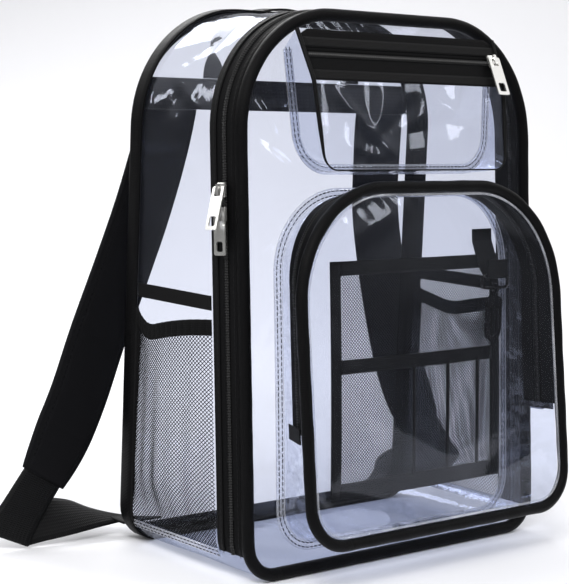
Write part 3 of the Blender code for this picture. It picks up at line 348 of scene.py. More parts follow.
def evenly(path, step, ring=False):
    # The same path with points a step apart.
    path = np.asarray(path, dtype=float)
    if ring:
        path = np.vstack([path, path[:1]])
    way = distances(stepLengths(path))
    at = np.linspace(0.0, way[-1], max(4, int(way[-1] / step)) + 1)
    found = np.stack([np.interp(at, way, path[:, axis]) for axis in range(3)], axis=1)
    return found[:-1] if ring else found


def creases(u, v, table):
    # Each row of the table is a fold from one point to another, its height and its half width; its
    # height falls off as a bell across it and fades out at both ends.
    total = np.zeros(np.broadcast(u, v).shape)
    for u0, v0, u1, v1, height, width in table:
        length = math.hypot(u1 - u0, v1 - v0)
        along = ((u - u0) * (u1 - u0) + (v - v0) * (v1 - v0)) / length**2
        off = ((u - u0) * (v1 - v0) - (v - v0) * (u1 - u0)) / length
        fade = np.clip(4.0 * along * (1.0 - along), 0.0, 1.0)
        total = total + height * np.exp(-((off / width) ** 2)) * fade
    return total


coilLook = {"width": 0.0026, "height": 0.0019, "pitch": 0.0020, "samples": 5}


def coil(name, path, toward, node):
    # A closed zipper's coil: a flattened tube whose ribs, a pitch apart, run across it. The direction
    # across is one for all, or one for each point of the path.
    line = evenly(path, coilLook["pitch"] / coilLook["samples"])
    toward = np.asarray(toward, dtype=float)
    if toward.ndim > 1:
        way = distances(stepLengths(path))
        at = np.linspace(0.0, way[-1], len(line))
        toward = np.stack([np.interp(at, way, toward[:, axis]) for axis in range(3)], axis=1)
    tooth = np.cos(2 * math.pi * np.arange(len(line)) / coilLook["samples"])
    grid = section(line, coilLook["width"] * (0.86 + 0.14 * tooth),
                   coilLook["height"] * (0.66 + 0.34 * tooth), 8, toward)
    return surface(name, grid, "coil", ringColumns=True, node=node, slotName="zip_coil")


def lattice(name, grid, radius, node):
    # A knitted mesh: three-sided threads along both diagonals of every cell of a grid.
    rows, columns = grid.shape[:2]
    starts = np.concatenate([grid[:-1, :-1].reshape(-1, 3), grid[:-1, 1:].reshape(-1, 3)])
    ends = np.concatenate([grid[1:, 1:].reshape(-1, 3), grid[1:, :-1].reshape(-1, 3)])
    way = unit(ends - starts)
    across = unit(np.cross(way, np.array([0.31, 0.87, 0.38])))
    out = np.cross(way, across)
    rings = []
    for base in (starts, ends):
        for k in range(3):
            turn = 2 * math.pi * k / 3
            rings.append(base + radius * (across * math.cos(turn) + out * math.sin(turn)))
    points = np.stack(rings, axis=1).reshape(-1, 3)
    at = np.arange(len(starts))[:, None, None] * 6
    corner = np.array([(k, (k + 1) % 3, (k + 1) % 3 + 3, k + 3) for k in range(3)])[None]
    faces = (at + corner).reshape(-1, 4)
    return showPiece(name, points, faces, "net", node=node, slotName="black_net")


stitch = {"length": 0.0037, "pitch": 0.0043, "width": 0.00045, "height": 0.0003}


def stitches(name, path, out, ring=False):
    # A row of sewn stitches: short rounded bars along a path, standing a little out of the cloth.
    line = evenly(path, stitch["pitch"], ring)
    way = np.roll(line, -1, axis=0) - line
    way, line = (way, line) if ring else (way[:-1], line[:-1])
    way = unit(way)
    out = np.broadcast_to(np.asarray(out, dtype=float), line.shape)
    across = unit(np.cross(way, out))
    shape = np.array([(-0.5, 0, -0.3), (-0.3, -1, 0.3), (-0.3, 1, 0.3), (0.0, 0, 1.0),
                      (0.3, -1, 0.3), (0.3, 1, 0.3), (0.5, 0, -0.3)])
    points = (line[:, None] + way[:, None] * shape[None, :, :1] * stitch["length"]
              + across[:, None] * shape[None, :, 1:2] * stitch["width"]
              + out[:, None] * shape[None, :, 2:] * stitch["height"])
    corner = np.array([(0, 1, 3), (0, 3, 2), (1, 4, 3), (2, 3, 5), (4, 6, 3), (5, 3, 6)])
    faces = (np.arange(len(line))[:, None, None] * 7 + corner[None]).reshape(-1, 3)
    return showPiece(name, points.reshape(-1, 3), faces, "thread", slotName="black_trim")


print("stage: helpers and materials")


def inward(shape, x, z):
    # Distance of a point inside a round-cornered outline.
    middle = (shape["base"] + shape["top"]) / 2
    radius = np.where(z > middle, shape["topRadius"], shape["baseRadius"])
    overX = np.abs(x) - (shape["half"] - radius)
    overZ = np.where(z > middle, z - shape["top"], shape["base"] - z) + radius
    corner = np.hypot(np.maximum(overX, 0.0), np.maximum(overZ, 0.0))
    return radius - np.minimum(np.maximum(overX, overZ), 0.0) - corner


def puckers(way, off, pitch, height, reach):
    # Small gathers where film is sewn: waves along the seam that fade with the distance from it.
    wave = np.sin(2 * math.pi * way / pitch) + 0.5 * np.sin(2 * math.pi * way / (pitch * 1.73) + 1.1)
    return height * wave * np.exp(-np.clip(off, 0.0, None) / reach)


def filmPanel(name, shape, inset, depth, table, look, node, slotName, seam, rows=110, columns=90):
    # A film that fills an outline: its own depth, folds from a table and gathers along its seam.
    z = sideHeights(shape, inset, rows)[:, None]
    x = halfWidth(shape, z, inset) * np.sin(math.pi / 2 * np.linspace(-1.0, 1.0, columns))[None, :]
    off = inward(shape, x, z) - inset
    hold = np.clip(off / 0.006, 0.0, 1.0)
    lift = creases(x, z, table) * hold + puckers(x + z, off, **seam) * hold
    grid = joined(x, depth(x, z) - lift, z)
    return surface(name, grid, look, flip=True, node=node, slotName=slotName)


# The main body. Folds: x, z of both ends, height and half width, in metres; a fold stands out to the
# front.
bodyLook = {
    "frontFolds": (
        (-0.150, 0.330, -0.098, 0.300, 0.0018, 0.005), (-0.142, 0.372, -0.112, 0.330, -0.0014, 0.004),
        (-0.150, 0.290, -0.125, 0.180, 0.0014, 0.006), (0.112, 0.345, 0.148, 0.300, 0.0014, 0.005),
        (-0.146, 0.352, -0.104, 0.352, 0.0012, 0.004), (-0.138, 0.300, -0.118, 0.262, 0.0014, 0.004),
        (-0.060, 0.304, 0.050, 0.298, 0.0008, 0.004), (0.118, 0.398, 0.135, 0.350, -0.0010, 0.005),
        (-0.148, 0.120, -0.132, 0.020, 0.0009, 0.005), (-0.095, 0.018, 0.080, 0.015, 0.0008, 0.004)),
    "backFolds": (
        (-0.120, 0.330, 0.060, 0.180, 0.0014, 0.012), (0.120, 0.300, -0.040, 0.090, -0.0012, 0.014),
        (-0.100, 0.120, 0.110, 0.050, 0.0012, 0.012)),
    "seam": {"pitch": 0.016, "height": 0.00028, "reach": 0.007},
    "sideSeam": {"pitch": 0.017, "height": 0.0003, "reach": 0.008},
    # The back binding's section: inset from the outline and depth behind the back plane.
    "backBinding": (
        (0.0000, -0.0154), (0.0000, -0.0100), (0.0000, -0.0030), (0.0008, -0.0008), (0.0028, 0.0008),
        (0.0060, 0.0010), (0.0106, 0.0009), (0.0110, -0.0002), (0.0105, -0.0010), (0.0045, -0.0010),
        (0.0024, -0.0024), (0.0020, -0.0090), (0.0020, -0.0150), (0.0010, -0.0160)),
    "filmInset": {"front": 0.0075, "back": 0.0040},
    "baseFolds": {"height": 0.0006, "pitch": 52},
}
# Folds of the side film: way along the arch and depth behind the zipper of both ends, height, half width.
sideFolds = (
    (0.205, 0.004, 0.262, 0.080, 0.0010, 0.006), (0.236, 0.090, 0.300, 0.010, -0.0013, 0.007),
    (0.262, 0.006, 0.330, 0.060, 0.0016, 0.006), (0.300, 0.092, 0.352, 0.030, -0.0014, 0.006),
    (0.322, 0.002, 0.372, 0.078, 0.0018, 0.006), (0.352, 0.086, 0.398, 0.012, -0.0016, 0.006),
    (0.380, 0.000, 0.420, 0.064, 0.0016, 0.005), (0.402, 0.088, 0.440, 0.020, 0.0012, 0.005),
    (0.436, 0.004, 0.470, 0.082, -0.0014, 0.006), (0.470, 0.080, 0.512, 0.006, 0.0015, 0.006),
    (0.520, 0.004, 0.548, 0.084, -0.0013, 0.006), (0.560, 0.082, 0.592, 0.010, 0.0014, 0.006),
    (0.604, 0.004, 0.640, 0.070, -0.0014, 0.006), (0.636, 0.088, 0.682, 0.010, 0.0016, 0.006),
    (0.690, 0.004, 0.730, 0.080, -0.0014, 0.007), (0.742, 0.090, 0.800, 0.020, 0.0012, 0.007),
    (0.800, 0.004, 0.850, 0.085, 0.0010, 0.007), (0.060, 0.006, 0.180, 0.090, 0.0008, 0.010),
)


def sideStrip(name, start, end, look, node, slotName, wall=0.0, count=2, folds=(), seam=None):
    # A band of the bag's side between two depths behind the front edge, folded outward by a table.
    x, z = arch(body, bag["skinInset"], bag["turnUp"])
    way = distances(np.hypot(np.diff(x), np.diff(z)))
    out = -unit(np.stack([np.gradient(z), -np.gradient(x)], axis=1))
    share = np.linspace(0.0, 1.0, count)[None, :]
    first, last = start(z)[:, None], end(z)[:, None]
    depth = first + (last - first) * share
    push = 0.0 * depth
    if folds:
        off = np.minimum(depth - first, last - depth)
        hold = np.clip(off / 0.008, 0.0, 1.0) * np.clip((z[:, None] - 0.20) / 0.03, 0.0, 1.0)
        push = (creases(way[:, None], depth - first, folds) + puckers(way[:, None], off, **seam)) * hold
    grid = joined(x[:, None] + out[:, :1] * push, depth, z[:, None] + out[:, 1:] * push)
    return surface(name, grid, look, wall=wall, node=node, slotName=slotName)


def ringLine(shape, inset, depth, step=None):
    x, z = loop(shape, inset)
    line = joined(x, depth(x, z), z)
    return evenly(line, step, ring=True) if step else line


def roundBinding(name, line, radius, node, waves, height=None):
    # A soft round binding along a ring whose thickness wanders a little, by waves of share and pitch.
    fat = 1.0
    for share, pitch in waves:
        fat = fat + share * np.sin(np.arange(len(line)) * pitch)
    grid = section(line, radius * fat, radius * fat if height is None else height, 16, ring=True)
    surface(name, grid, "binding", ringRows=True, ringColumns=True, node=node, slotName="black_binding")


def buildBody():
    for word, depth in (("front", frontY), ("back", backY)):
        filmPanel(word + "_film", body, bodyLook["filmInset"][word], depth, bodyLook[word + "Folds"], "film",
                  word + "_panel", "clear_pvc", bodyLook["seam"])
    line = ringLine(body, bag["piping"], lambda x, z: edgeY(z), bag["step"])
    roundBinding("front_edge_binding", line, bag["piping"], "front_binding", ((0.025, 0.9), (0.02, 0.37)),
                 bag["piping"] * 0.98)

    columns = []
    for inset, depth in bodyLook["backBinding"]:
        x, z = loop(body, inset)
        columns.append((x, bag["backY"] + depth, z))
    surface("back_edge_binding", stack(*columns), "binding", ringRows=True, ringColumns=True, flip=True,
            node="back_binding", slotName="black_tape")
    rearCoil = bag["zipStart"] + bag["zipFront"] + bag["coilGap"] + bag["coil"]
    rearStart = rearCoil + bag["coil"] + bag["coilGap"]
    rearEnd = rearStart + bag["zipRear"]
    for word, slotName, start, end, count in (
            ("front", "zip_tape", bag["underBinding"], rearCoil - 0.0016, 6),
            ("rear", "zip_tape_wide", rearCoil + 0.0016, rearEnd, 8)):
        sideStrip("zipper_tape_" + word, lambda z: edgeY(z) + start, lambda z: edgeY(z) + end, "tape",
                  "zip_tape_" + word, slotName, wall=bag["flatWall"], count=count)
    # A turned edge on the rear tape and its two rows of stitches.
    x, z = arch(body, bag["skinInset"] - 0.0009, bag["turnUp"])
    columns = [(x, edgeY(z) + rearEnd - 0.0074 + 0.0070 * share, z) for share in np.linspace(0.0, 1.0, 4)]
    surface("zipper_rear_fold", stack(*columns), "trim", wall=bag["foldWall"], slotName="zip_tape_wide")
    x, z = arch(body, bag["skinInset"] - 0.0004, bag["turnUp"])
    coil("main_zipper_coil", joined(x, edgeY(z) + rearCoil, z), (0, 1, 0), "zip_coil")
    sideStrip("side_film", lambda z: edgeY(z) + rearEnd - 0.004, lambda z: 0.0 * z + (bag["backY"] - 0.0100),
              "sideFilm", "clear_gusset", "clear_side", count=46, folds=sideFolds, seam=bodyLook["sideSeam"])

    # The base film lies on the floor and turns up into the seams at both sides.
    folds = bodyLook["baseFolds"]
    steepest = 1.24
    turn = np.linspace(steepest, 0.0, 14)
    inset = 0.0005 + 0.0025 * turn / steepest
    cornerX = bag["half"] - bag["baseRadius"] + (bag["baseRadius"] - inset) * np.sin(turn)
    x, z = bothSides(cornerX, bag["baseRadius"] - (bag["baseRadius"] - inset) * np.cos(turn), 60)
    near, far = edgeY(z) + bag["underBinding"], 0.0 * z + bag["backY"] - 0.012
    columns = []
    for share in np.linspace(0.0, 1.0, 30):
        wave = folds["height"] * np.sin(x * folds["pitch"] + 5 * share) ** 2 * math.sin(math.pi * share)
        columns.append((x, near + (far - near) * share, z + wave))
    surface("base_film", stack(*columns), "baseFilm", node="bottom_panel", slotName="clear_base")

    stitches("seam_stitches_back", ringLine(body, 0.0092, lambda x, z: backY(x, z) + 0.0030), (0, 1, 0),
             ring=True)
    for name, inset, start in (("zipper_stitches_front", bag["skinInset"] - 0.0006, 0.0080),
                               ("zipper_stitches_rear", bag["skinInset"] - 0.0014, rearEnd - 0.0058),
                               ("zipper_stitches_fold", bag["skinInset"] - 0.0014, rearEnd - 0.0014)):
        x, z = arch(body, inset, bag["turnUp"])
        line = evenly(joined(x, edgeY(z) + start, z), stitch["pitch"])
        out = unit(line * (1.0, 0.0, 1.0) - (0.0, 0.0, 0.26))
        stitches(name, line, out[:-1])
    print("stage: body")
    return rearEnd


sideNet = {"rows": 54, "columns": 34, "thread": 0.00035, "low": 0.0206, "top": 0.196, "swell": 0.0125,
           "band": 0.012, "bandWall": 0.0013, "dip": 0.016, "ruffle": 0.0007, "rufflePitch": 0.0062,
           "tape": 0.0105, "tapeWall": 0.0008, "seamWall": 0.0007,
           "gap": 0.0012, "proud": 0.0018}


def netSkin(along, up, low, top, zipEnd, extra=0.0):
    # The side pocket's surface: share along from front to rear, share up from the base to the mouth.
    height = low + (top - low) * up
    near = edgeY(height) + zipEnd + sideNet["gap"]
    depth = near + (bag["backY"] - 0.0166 - near) * along
    ease = np.clip(up / 0.3, 0.0, 1.0)
    full = sideNet["swell"] * np.sin(math.pi * along) ** 0.8 * ease * ease * (3.0 - 2.0 * ease)
    waves = 0.0012 * np.sin(math.pi * 5.0 * along) + 0.0007 * np.sin(math.pi * 11.0 * along + 3.0 * up)
    inset = bag["skinInset"] - 0.0013 - full - waves * ease * (1.0 - up) - extra
    return halfWidth(body, height, inset), depth, height


def mouthHeight(along):
    # The mouth dips towards the rear: a few heights, smoothed by a running mean.
    rough = np.interp(np.linspace(-0.2, 1.2, 57), (0.0, 0.35, 0.62, 0.80, 1.0), (0.1, 0.35, 0.8, 1.0, 0.0))
    smooth = np.interp(along, np.linspace(0, 1, 41), np.convolve(rough, np.ones(17) / 17, "valid"))
    return sideNet["top"] - sideNet["dip"] * np.clip(smooth, 0.0, 1.0)


def buildSidePockets(zipEnd):
    for word, side in (("left", -1.0), ("right", 1.0)):
        along = np.linspace(0.0, 1.0, sideNet["columns"])[None, :]
        up = np.linspace(0.0, 1.0, sideNet["rows"])[:, None]
        mouth = mouthHeight(along)
        x, y, z = netSkin(along, up, sideNet["low"], mouth - sideNet["band"] + 0.002, zipEnd)
        piece = lattice("side_mesh_" + word, joined(side * x, y, z), sideNet["thread"], "side_net_" + word)
        # The elastic mouth is gathered: its band ruffles in and out.
        along = np.linspace(0.0, 1.0, 130)[None, :]
        up = np.linspace(0.0, 1.0, 8)[:, None]
        ruffle = np.sin(2 * math.pi * along * 0.094 / sideNet["rufflePitch"])
        ruffle = sideNet["ruffle"] * ruffle * np.sin(math.pi * up)
        mouth = mouthHeight(along)
        x, y, z = netSkin(along, 1.0, sideNet["low"], mouth - sideNet["band"] * (1.0 - up), zipEnd, ruffle)
        surface("side_elastic_" + word, joined(side * x, y, z), "elastic", wall=sideNet["bandWall"],
                node="side_band_" + word, slotName="elastic")
        # The net's rear edge is taped down as far as the back binding.
        height = np.linspace(sideNet["low"] - 0.001, sideNet["top"] - 0.004, 40)
        x = halfWidth(body, height, bag["skinInset"] - 0.0024)
        columns = [(side * x, bag["backY"] - 0.0180 + sideNet["tape"] * share, height)
                   for share in np.linspace(0.0, 1.0, 4)]
        surface("side_tape_rear_" + word, stack(*columns), "trim", wall=sideNet["tapeWall"],
                slotName="black_net")
        # The side film is sewn to the turned-up base below the net, in a strip with two rows of stitches.
        share = np.linspace(0.0, 1.0, 30)
        columns = []
        for height in bag["turnUp"] + np.array([0.0002, -0.0020, -0.0042, -0.0062]):
            near = edgeY(height) + zipEnd + sideNet["gap"]
            x = halfWidth(body, height, bag["skinInset"] - sideNet["proud"])
            columns.append((side * x, near + (bag["backY"] - 0.0080 - near) * share, height))
        surface("base_seam_" + word, stack(*columns), "seamFilm", wall=sideNet["seamWall"],
                slotName="clear_seam")
        for number, drop in enumerate((0.0016, 0.0048), 1):
            height = bag["turnUp"] - drop
            near = edgeY(height) + zipEnd + 0.0020
            x = side * (halfWidth(body, height, bag["skinInset"] - sideNet["proud"]) + 0.0006)
            length = bag["backY"] - 0.0090 - near
            way = np.array([(x, near + length * part, height) for part in (0.0, 0.5, 1.0)])
            stitches(f"base_seam_stitches_{word}_{number}", way, (side, 0.0, 0.0))
    print("stage: side pockets")


pocket = {"depthBase": 0.056, "depthTop": 0.043, "crown": 0.006, "piping": 0.0045, "zipEnd": 0.117,
          "tapeOuter": 0.0115, "tapeInner": 0.0095, "coilGap": 0.0006, "flange": 0.0080,
          "flangeWall": 0.0008, "off": 0.0014, "stitchOff": 0.0020,
          "stitchRows": (("outer", -0.0058), ("inner", -0.0024)),
          "faceFolds": (
              (-0.120, 0.250, -0.020, 0.286, 0.0016, 0.009), (0.020, 0.284, 0.118, 0.246, 0.0014, 0.009),
              (-0.128, 0.200, -0.060, 0.110, 0.0016, 0.012), (-0.118, 0.080, 0.000, 0.052, -0.0014, 0.010),
              (0.030, 0.060, 0.122, 0.090, 0.0016, 0.010), (0.060, 0.200, 0.122, 0.130, -0.0014, 0.012),
              (-0.040, 0.230, 0.050, 0.130, 0.0012, 0.016), (-0.080, 0.150, 0.030, 0.060, 0.0010, 0.014)),
          "seam": {"pitch": 0.019, "height": 0.00035, "reach": 0.009}}


def pocketDepth(z):
    share = (z - pocketFace["base"]) / (pocketFace["top"] - pocketFace["base"])
    return pocket["depthBase"] + (pocket["depthTop"] - pocket["depthBase"]) * share


def pocketFaceY(x, z):
    bulge = swell(x, z, pocketFace["half"], pocketFace["base"], pocketFace["top"])
    return edgeY(z) - pocketDepth(z) - pocket["crown"] * bulge


def matched(shape, turn, rise, top=23):
    # Points round one outline's arch that match those of another by their angle and share of height.
    lowCentre, highCentre = pocket["zipEnd"], shape["top"] - shape["topRadius"]
    z = np.concatenate([lowCentre + (highCentre - lowCentre) * rise,
                        highCentre + shape["topRadius"] * np.sin(turn)])
    return bothSides(halfWidth(shape, z), z, top)


def matchedBase(shape, turn, rise, floor=41):
    centre = shape["base"] + shape["baseRadius"]
    z = np.concatenate([pocket["zipEnd"] + (centre - pocket["zipEnd"]) * rise,
                        centre - shape["baseRadius"] * np.cos(turn)])
    return bothSides(halfWidth(shape, z), z, floor)


def pocketLines(kind):
    # Seam line and face line of the pocket's side, over the top or round the base.
    rise = np.linspace(0.0, 1.0, 30)[:-1]
    if kind == "arch":
        turn = np.linspace(0.0, math.pi / 2, 26)
        rows = [matched(shape, turn, rise) for shape in (pocketSeam, pocketFace)]
    else:
        turn = np.linspace(math.pi / 2, 0.0, 18)
        rows = [matchedBase(shape, turn, rise) for shape in (pocketSeam, pocketFace)]
    (seamX, seamZ), (faceX, faceZ) = rows
    return (joined(seamX, frontY(seamX, seamZ) - 0.0012, seamZ),
            joined(faceX, edgeY(faceZ) - pocketDepth(faceZ), faceZ))


def pocketBand(name, kind, fromSeam, fromFace, look, node, slotName, wall=0.0, count=8, folds=0.0):
    # A band of the pocket's side between two distances: from the seam and from the face, in metres.
    seam, face = pocketLines(kind)
    span = np.linalg.norm(face - seam, axis=1)
    start = fromSeam / span if fromSeam >= 0 else 1.0 + fromSeam / span
    end = 1.0 - fromFace / span
    share = start[:, None] + (end - start)[:, None] * np.linspace(0.0, 1.0, count)[None, :]
    grid = seam[:, None, :] + (face - seam)[:, None, :] * share[..., None]
    out = unit(np.cross(np.gradient(seam, axis=0), face - seam))
    out *= np.sign(out[:, :1] * seam[:, :1] + out[:, 2:] * (seam[:, 2:] - 0.16))
    path = distances(stepLengths(seam))[:, None]
    width = (share - share[:, :1]) * span[:, None]
    middle = np.sin(math.pi * np.linspace(0.0, 1.0, count))[None, :]
    wave = (np.sin(path * 2 * math.pi / 0.031 + width * 90)
            + 0.6 * np.sin(path * 2 * math.pi / 0.0187 - width * 130))
    grid = grid + out[:, None, :] * (folds * wave * middle)[..., None]
    return surface(name, grid, look, wall=wall, node=node, slotName=slotName)


def buildLowerPocket():
    outerNear = pocket["piping"] + 0.0006
    outerFar = outerNear + pocket["tapeOuter"]
    coilAt = outerFar + pocket["coilGap"] + bag["coil"]
    innerNear = coilAt + bag["coil"] + pocket["coilGap"]
    innerFar = innerNear + pocket["tapeInner"]

    columns = []
    for inset in np.linspace(-pocket["flange"], 0.0, 5):
        x, z = loop(pocketSeam, inset)
        columns.append((x, frontY(x, z) - pocket["off"], z))
    surface("pocket_seam_film", stack(*columns), "seamFilm", ringRows=True,
            wall=pocket["flangeWall"], node="pocket_flange", slotName="clear_seam")
    for word, inset in pocket["stitchRows"]:
        line = ringLine(pocketSeam, inset, lambda x, z: frontY(x, z) - pocket["stitchOff"])
        stitches("pocket_stitches_" + word, line, (0, -1, 0), ring=True)
    pocketBand("pocket_side_film_arch", "arch", 0.0015, innerFar - 0.002, "gussetFilm", "pocket_gusset_arch",
               "clear_pocket_side", count=14, folds=0.0007)
    pocketBand("pocket_side_film_base", "base", 0.0015, outerNear, "gussetFilm", "pocket_gusset_base",
               "clear_pocket_side", count=26, folds=0.0010)
    for word, start, end in (("inner", -innerFar, innerNear - 0.0008),
                             ("outer", -outerFar - 0.0008, outerNear - 0.001)):
        pocketBand("pocket_zipper_tape_" + word, "arch", start, end, "tape", "pocket_tape_" + word,
                   "zip_tape", wall=bag["flatWall"], count=6)
    seam, face = pocketLines("arch")
    across = face - seam
    span = np.linalg.norm(across, axis=1)[:, None]
    coil("pocket_zipper_coil", seam + across * (1.0 - coilAt / span), across / span, "pocket_coil")

    line = ringLine(pocketFace, 0.0, lambda x, z: edgeY(z) - pocketDepth(z), bag["step"])
    roundBinding("pocket_edge_binding", line, pocket["piping"], "pocket_binding", ((0.03, 0.8), (0.02, 0.31)))
    filmPanel("pocket_face_film", pocketFace, 0.003, pocketFaceY, pocket["faceFolds"], "pocketFilm",
              "pocket_front", "clear_pocket", pocket["seam"])
    # The film rolls up a little where it leaves the binding. The roll is drawn in the milky, whitish seam
    # film, so its pale rim is partly real film edge and partly a painted highlight along the binding's inner
    # edge.
    line = ringLine(pocketFace, 0.0058, lambda x, z: pocketFaceY(x, z) - 0.0008, bag["step"])
    surface("pocket_face_painted_highlight_rim", section(line, 0.0010, 0.0010, 8, ring=True), "seamFilm", ringRows=True,
            ringColumns=True, slotName="clear_seam")
    print("stage: lower pocket")


organizer = {"left": -0.075, "right": 0.116, "base": 0.053, "top": 0.238, "mesh": 0.0028, "thread": 0.00034,
             "off": 0.0029, "wall": 0.0011,
             "bands": {"base": (0.053, 0.013), "middle": (0.151, 0.011), "top": (0.227, 0.011)},
             "trim": 0.010, "dividers": (0.465, 0.67, 0.86), "divider": 0.003}


def strip(name, left, right, low, high, node, rows, columns, wave=0.0):
    # A flat strip of trim that lies on the bag's front sheet, a little proud of it.
    z = np.linspace(low, high, rows)[:, None]
    x = np.linspace(left, right, columns)[None, :]
    push = wave * np.sin(x * 2 * math.pi / 0.034 + 1.0) * np.sin(math.pi * (z - low) / (high - low))
    return surface(name, joined(x, frontY(x, z) - organizer["off"] - push, z), "trim",
                   wall=organizer["wall"], node=node, slotName="black_trim")


def buildOrganizer():
    o = organizer
    across = int((o["right"] - o["left"]) / o["mesh"])
    tall = int((o["top"] - o["base"]) / o["mesh"])
    z = np.linspace(o["base"] + 0.002, o["top"] - 0.002, tall)[:, None]
    x = np.linspace(o["left"] + 0.002, o["right"] - 0.002, across)[None, :]
    sag = 0.0010 * np.sin(x * 61) * np.sin(z * 47)
    grid = joined(x, frontY(x, z) - 0.0016 - np.abs(sag), z)
    piece = lattice("organizer_mesh", grid, o["thread"], "organizer_net")
    for word, (low, height) in o["bands"].items():
        strip("organizer_tape_" + word, o["left"] + 0.009, o["right"] - 0.009, low, low + height,
              "organizer_band_" + word, rows=6, columns=50, wave=0.0003)
    for word, start in (("left", o["left"]), ("right", o["right"] - o["trim"])):
        strip("organizer_edge_" + word, start, start + o["trim"], o["base"], o["top"],
              "organizer_trim_" + word, rows=50, columns=6)
    for number, share in enumerate(o["dividers"], 1):
        x = o["left"] + (o["right"] - o["left"]) * share
        strip(f"organizer_seam_{number}", x - o["divider"] / 2, x + o["divider"] / 2, o["base"] + 0.012,
              o["bands"]["middle"][0] + 0.001, f"organizer_divider_{number}", rows=30, columns=4)
    print("stage: organizer")


topPocket = {"seam": {"halfTop": 0.114, "halfBase": 0.105, "base": 0.304, "top": 0.397, "radius": 0.030},
             "face": {"halfTop": 0.107, "halfBase": 0.099, "base": 0.309, "top": 0.413, "radius": 0.012},
             "depths": ((0.309, 0.030), (0.3755, 0.024), (0.413, 0.009)), "tapeLow": 0.3755, "coilZ": 0.394,
             "coilHalf": 0.0018, "flange": 0.0080, "flangeWall": 0.0008, "foldHeight": 0.0075,
             "folds": (
                 (-0.090, 0.372, -0.020, 0.316, 0.0018, 0.005), (-0.030, 0.372, -0.055, 0.314, 0.0016, 0.005),
                 (-0.070, 0.314, 0.010, 0.366, -0.0014, 0.006), (-0.040, 0.330, 0.075, 0.352, -0.0012, 0.006),
                 (0.020, 0.368, 0.088, 0.330, 0.0009, 0.005), (-0.088, 0.330, -0.030, 0.318, 0.0008, 0.005))}


def topSide(shape, z):
    share = (z - shape["base"]) / (shape["top"] - shape["base"])
    straight = shape["halfBase"] + (shape["halfTop"] - shape["halfBase"]) * share
    under = np.clip(shape["base"] + shape["radius"] - z, 0.0, shape["radius"])
    return straight - shape["radius"] + np.sqrt(shape["radius"] ** 2 - under**2)


def topPath(shape, grow=0.0, side=26, floor=34):
    # From the top on the left, down, round the base and up to the top on the right.
    turn = np.linspace(math.pi / 2, 0.0, 20)
    z = np.concatenate([np.linspace(shape["top"], shape["base"] + shape["radius"], side)[:-1],
                        shape["base"] + shape["radius"] * (1.0 - np.cos(turn))])
    x = topSide(shape, z)
    x, z = bothSides(x, z, floor)
    step = unit(np.stack([np.gradient(x), np.gradient(z)], axis=1))
    return x + grow * step[:, 1], z - grow * step[:, 0]


def topDepth(z):
    heights, depths = zip(*topPocket["depths"])
    return np.interp(z, heights, depths)


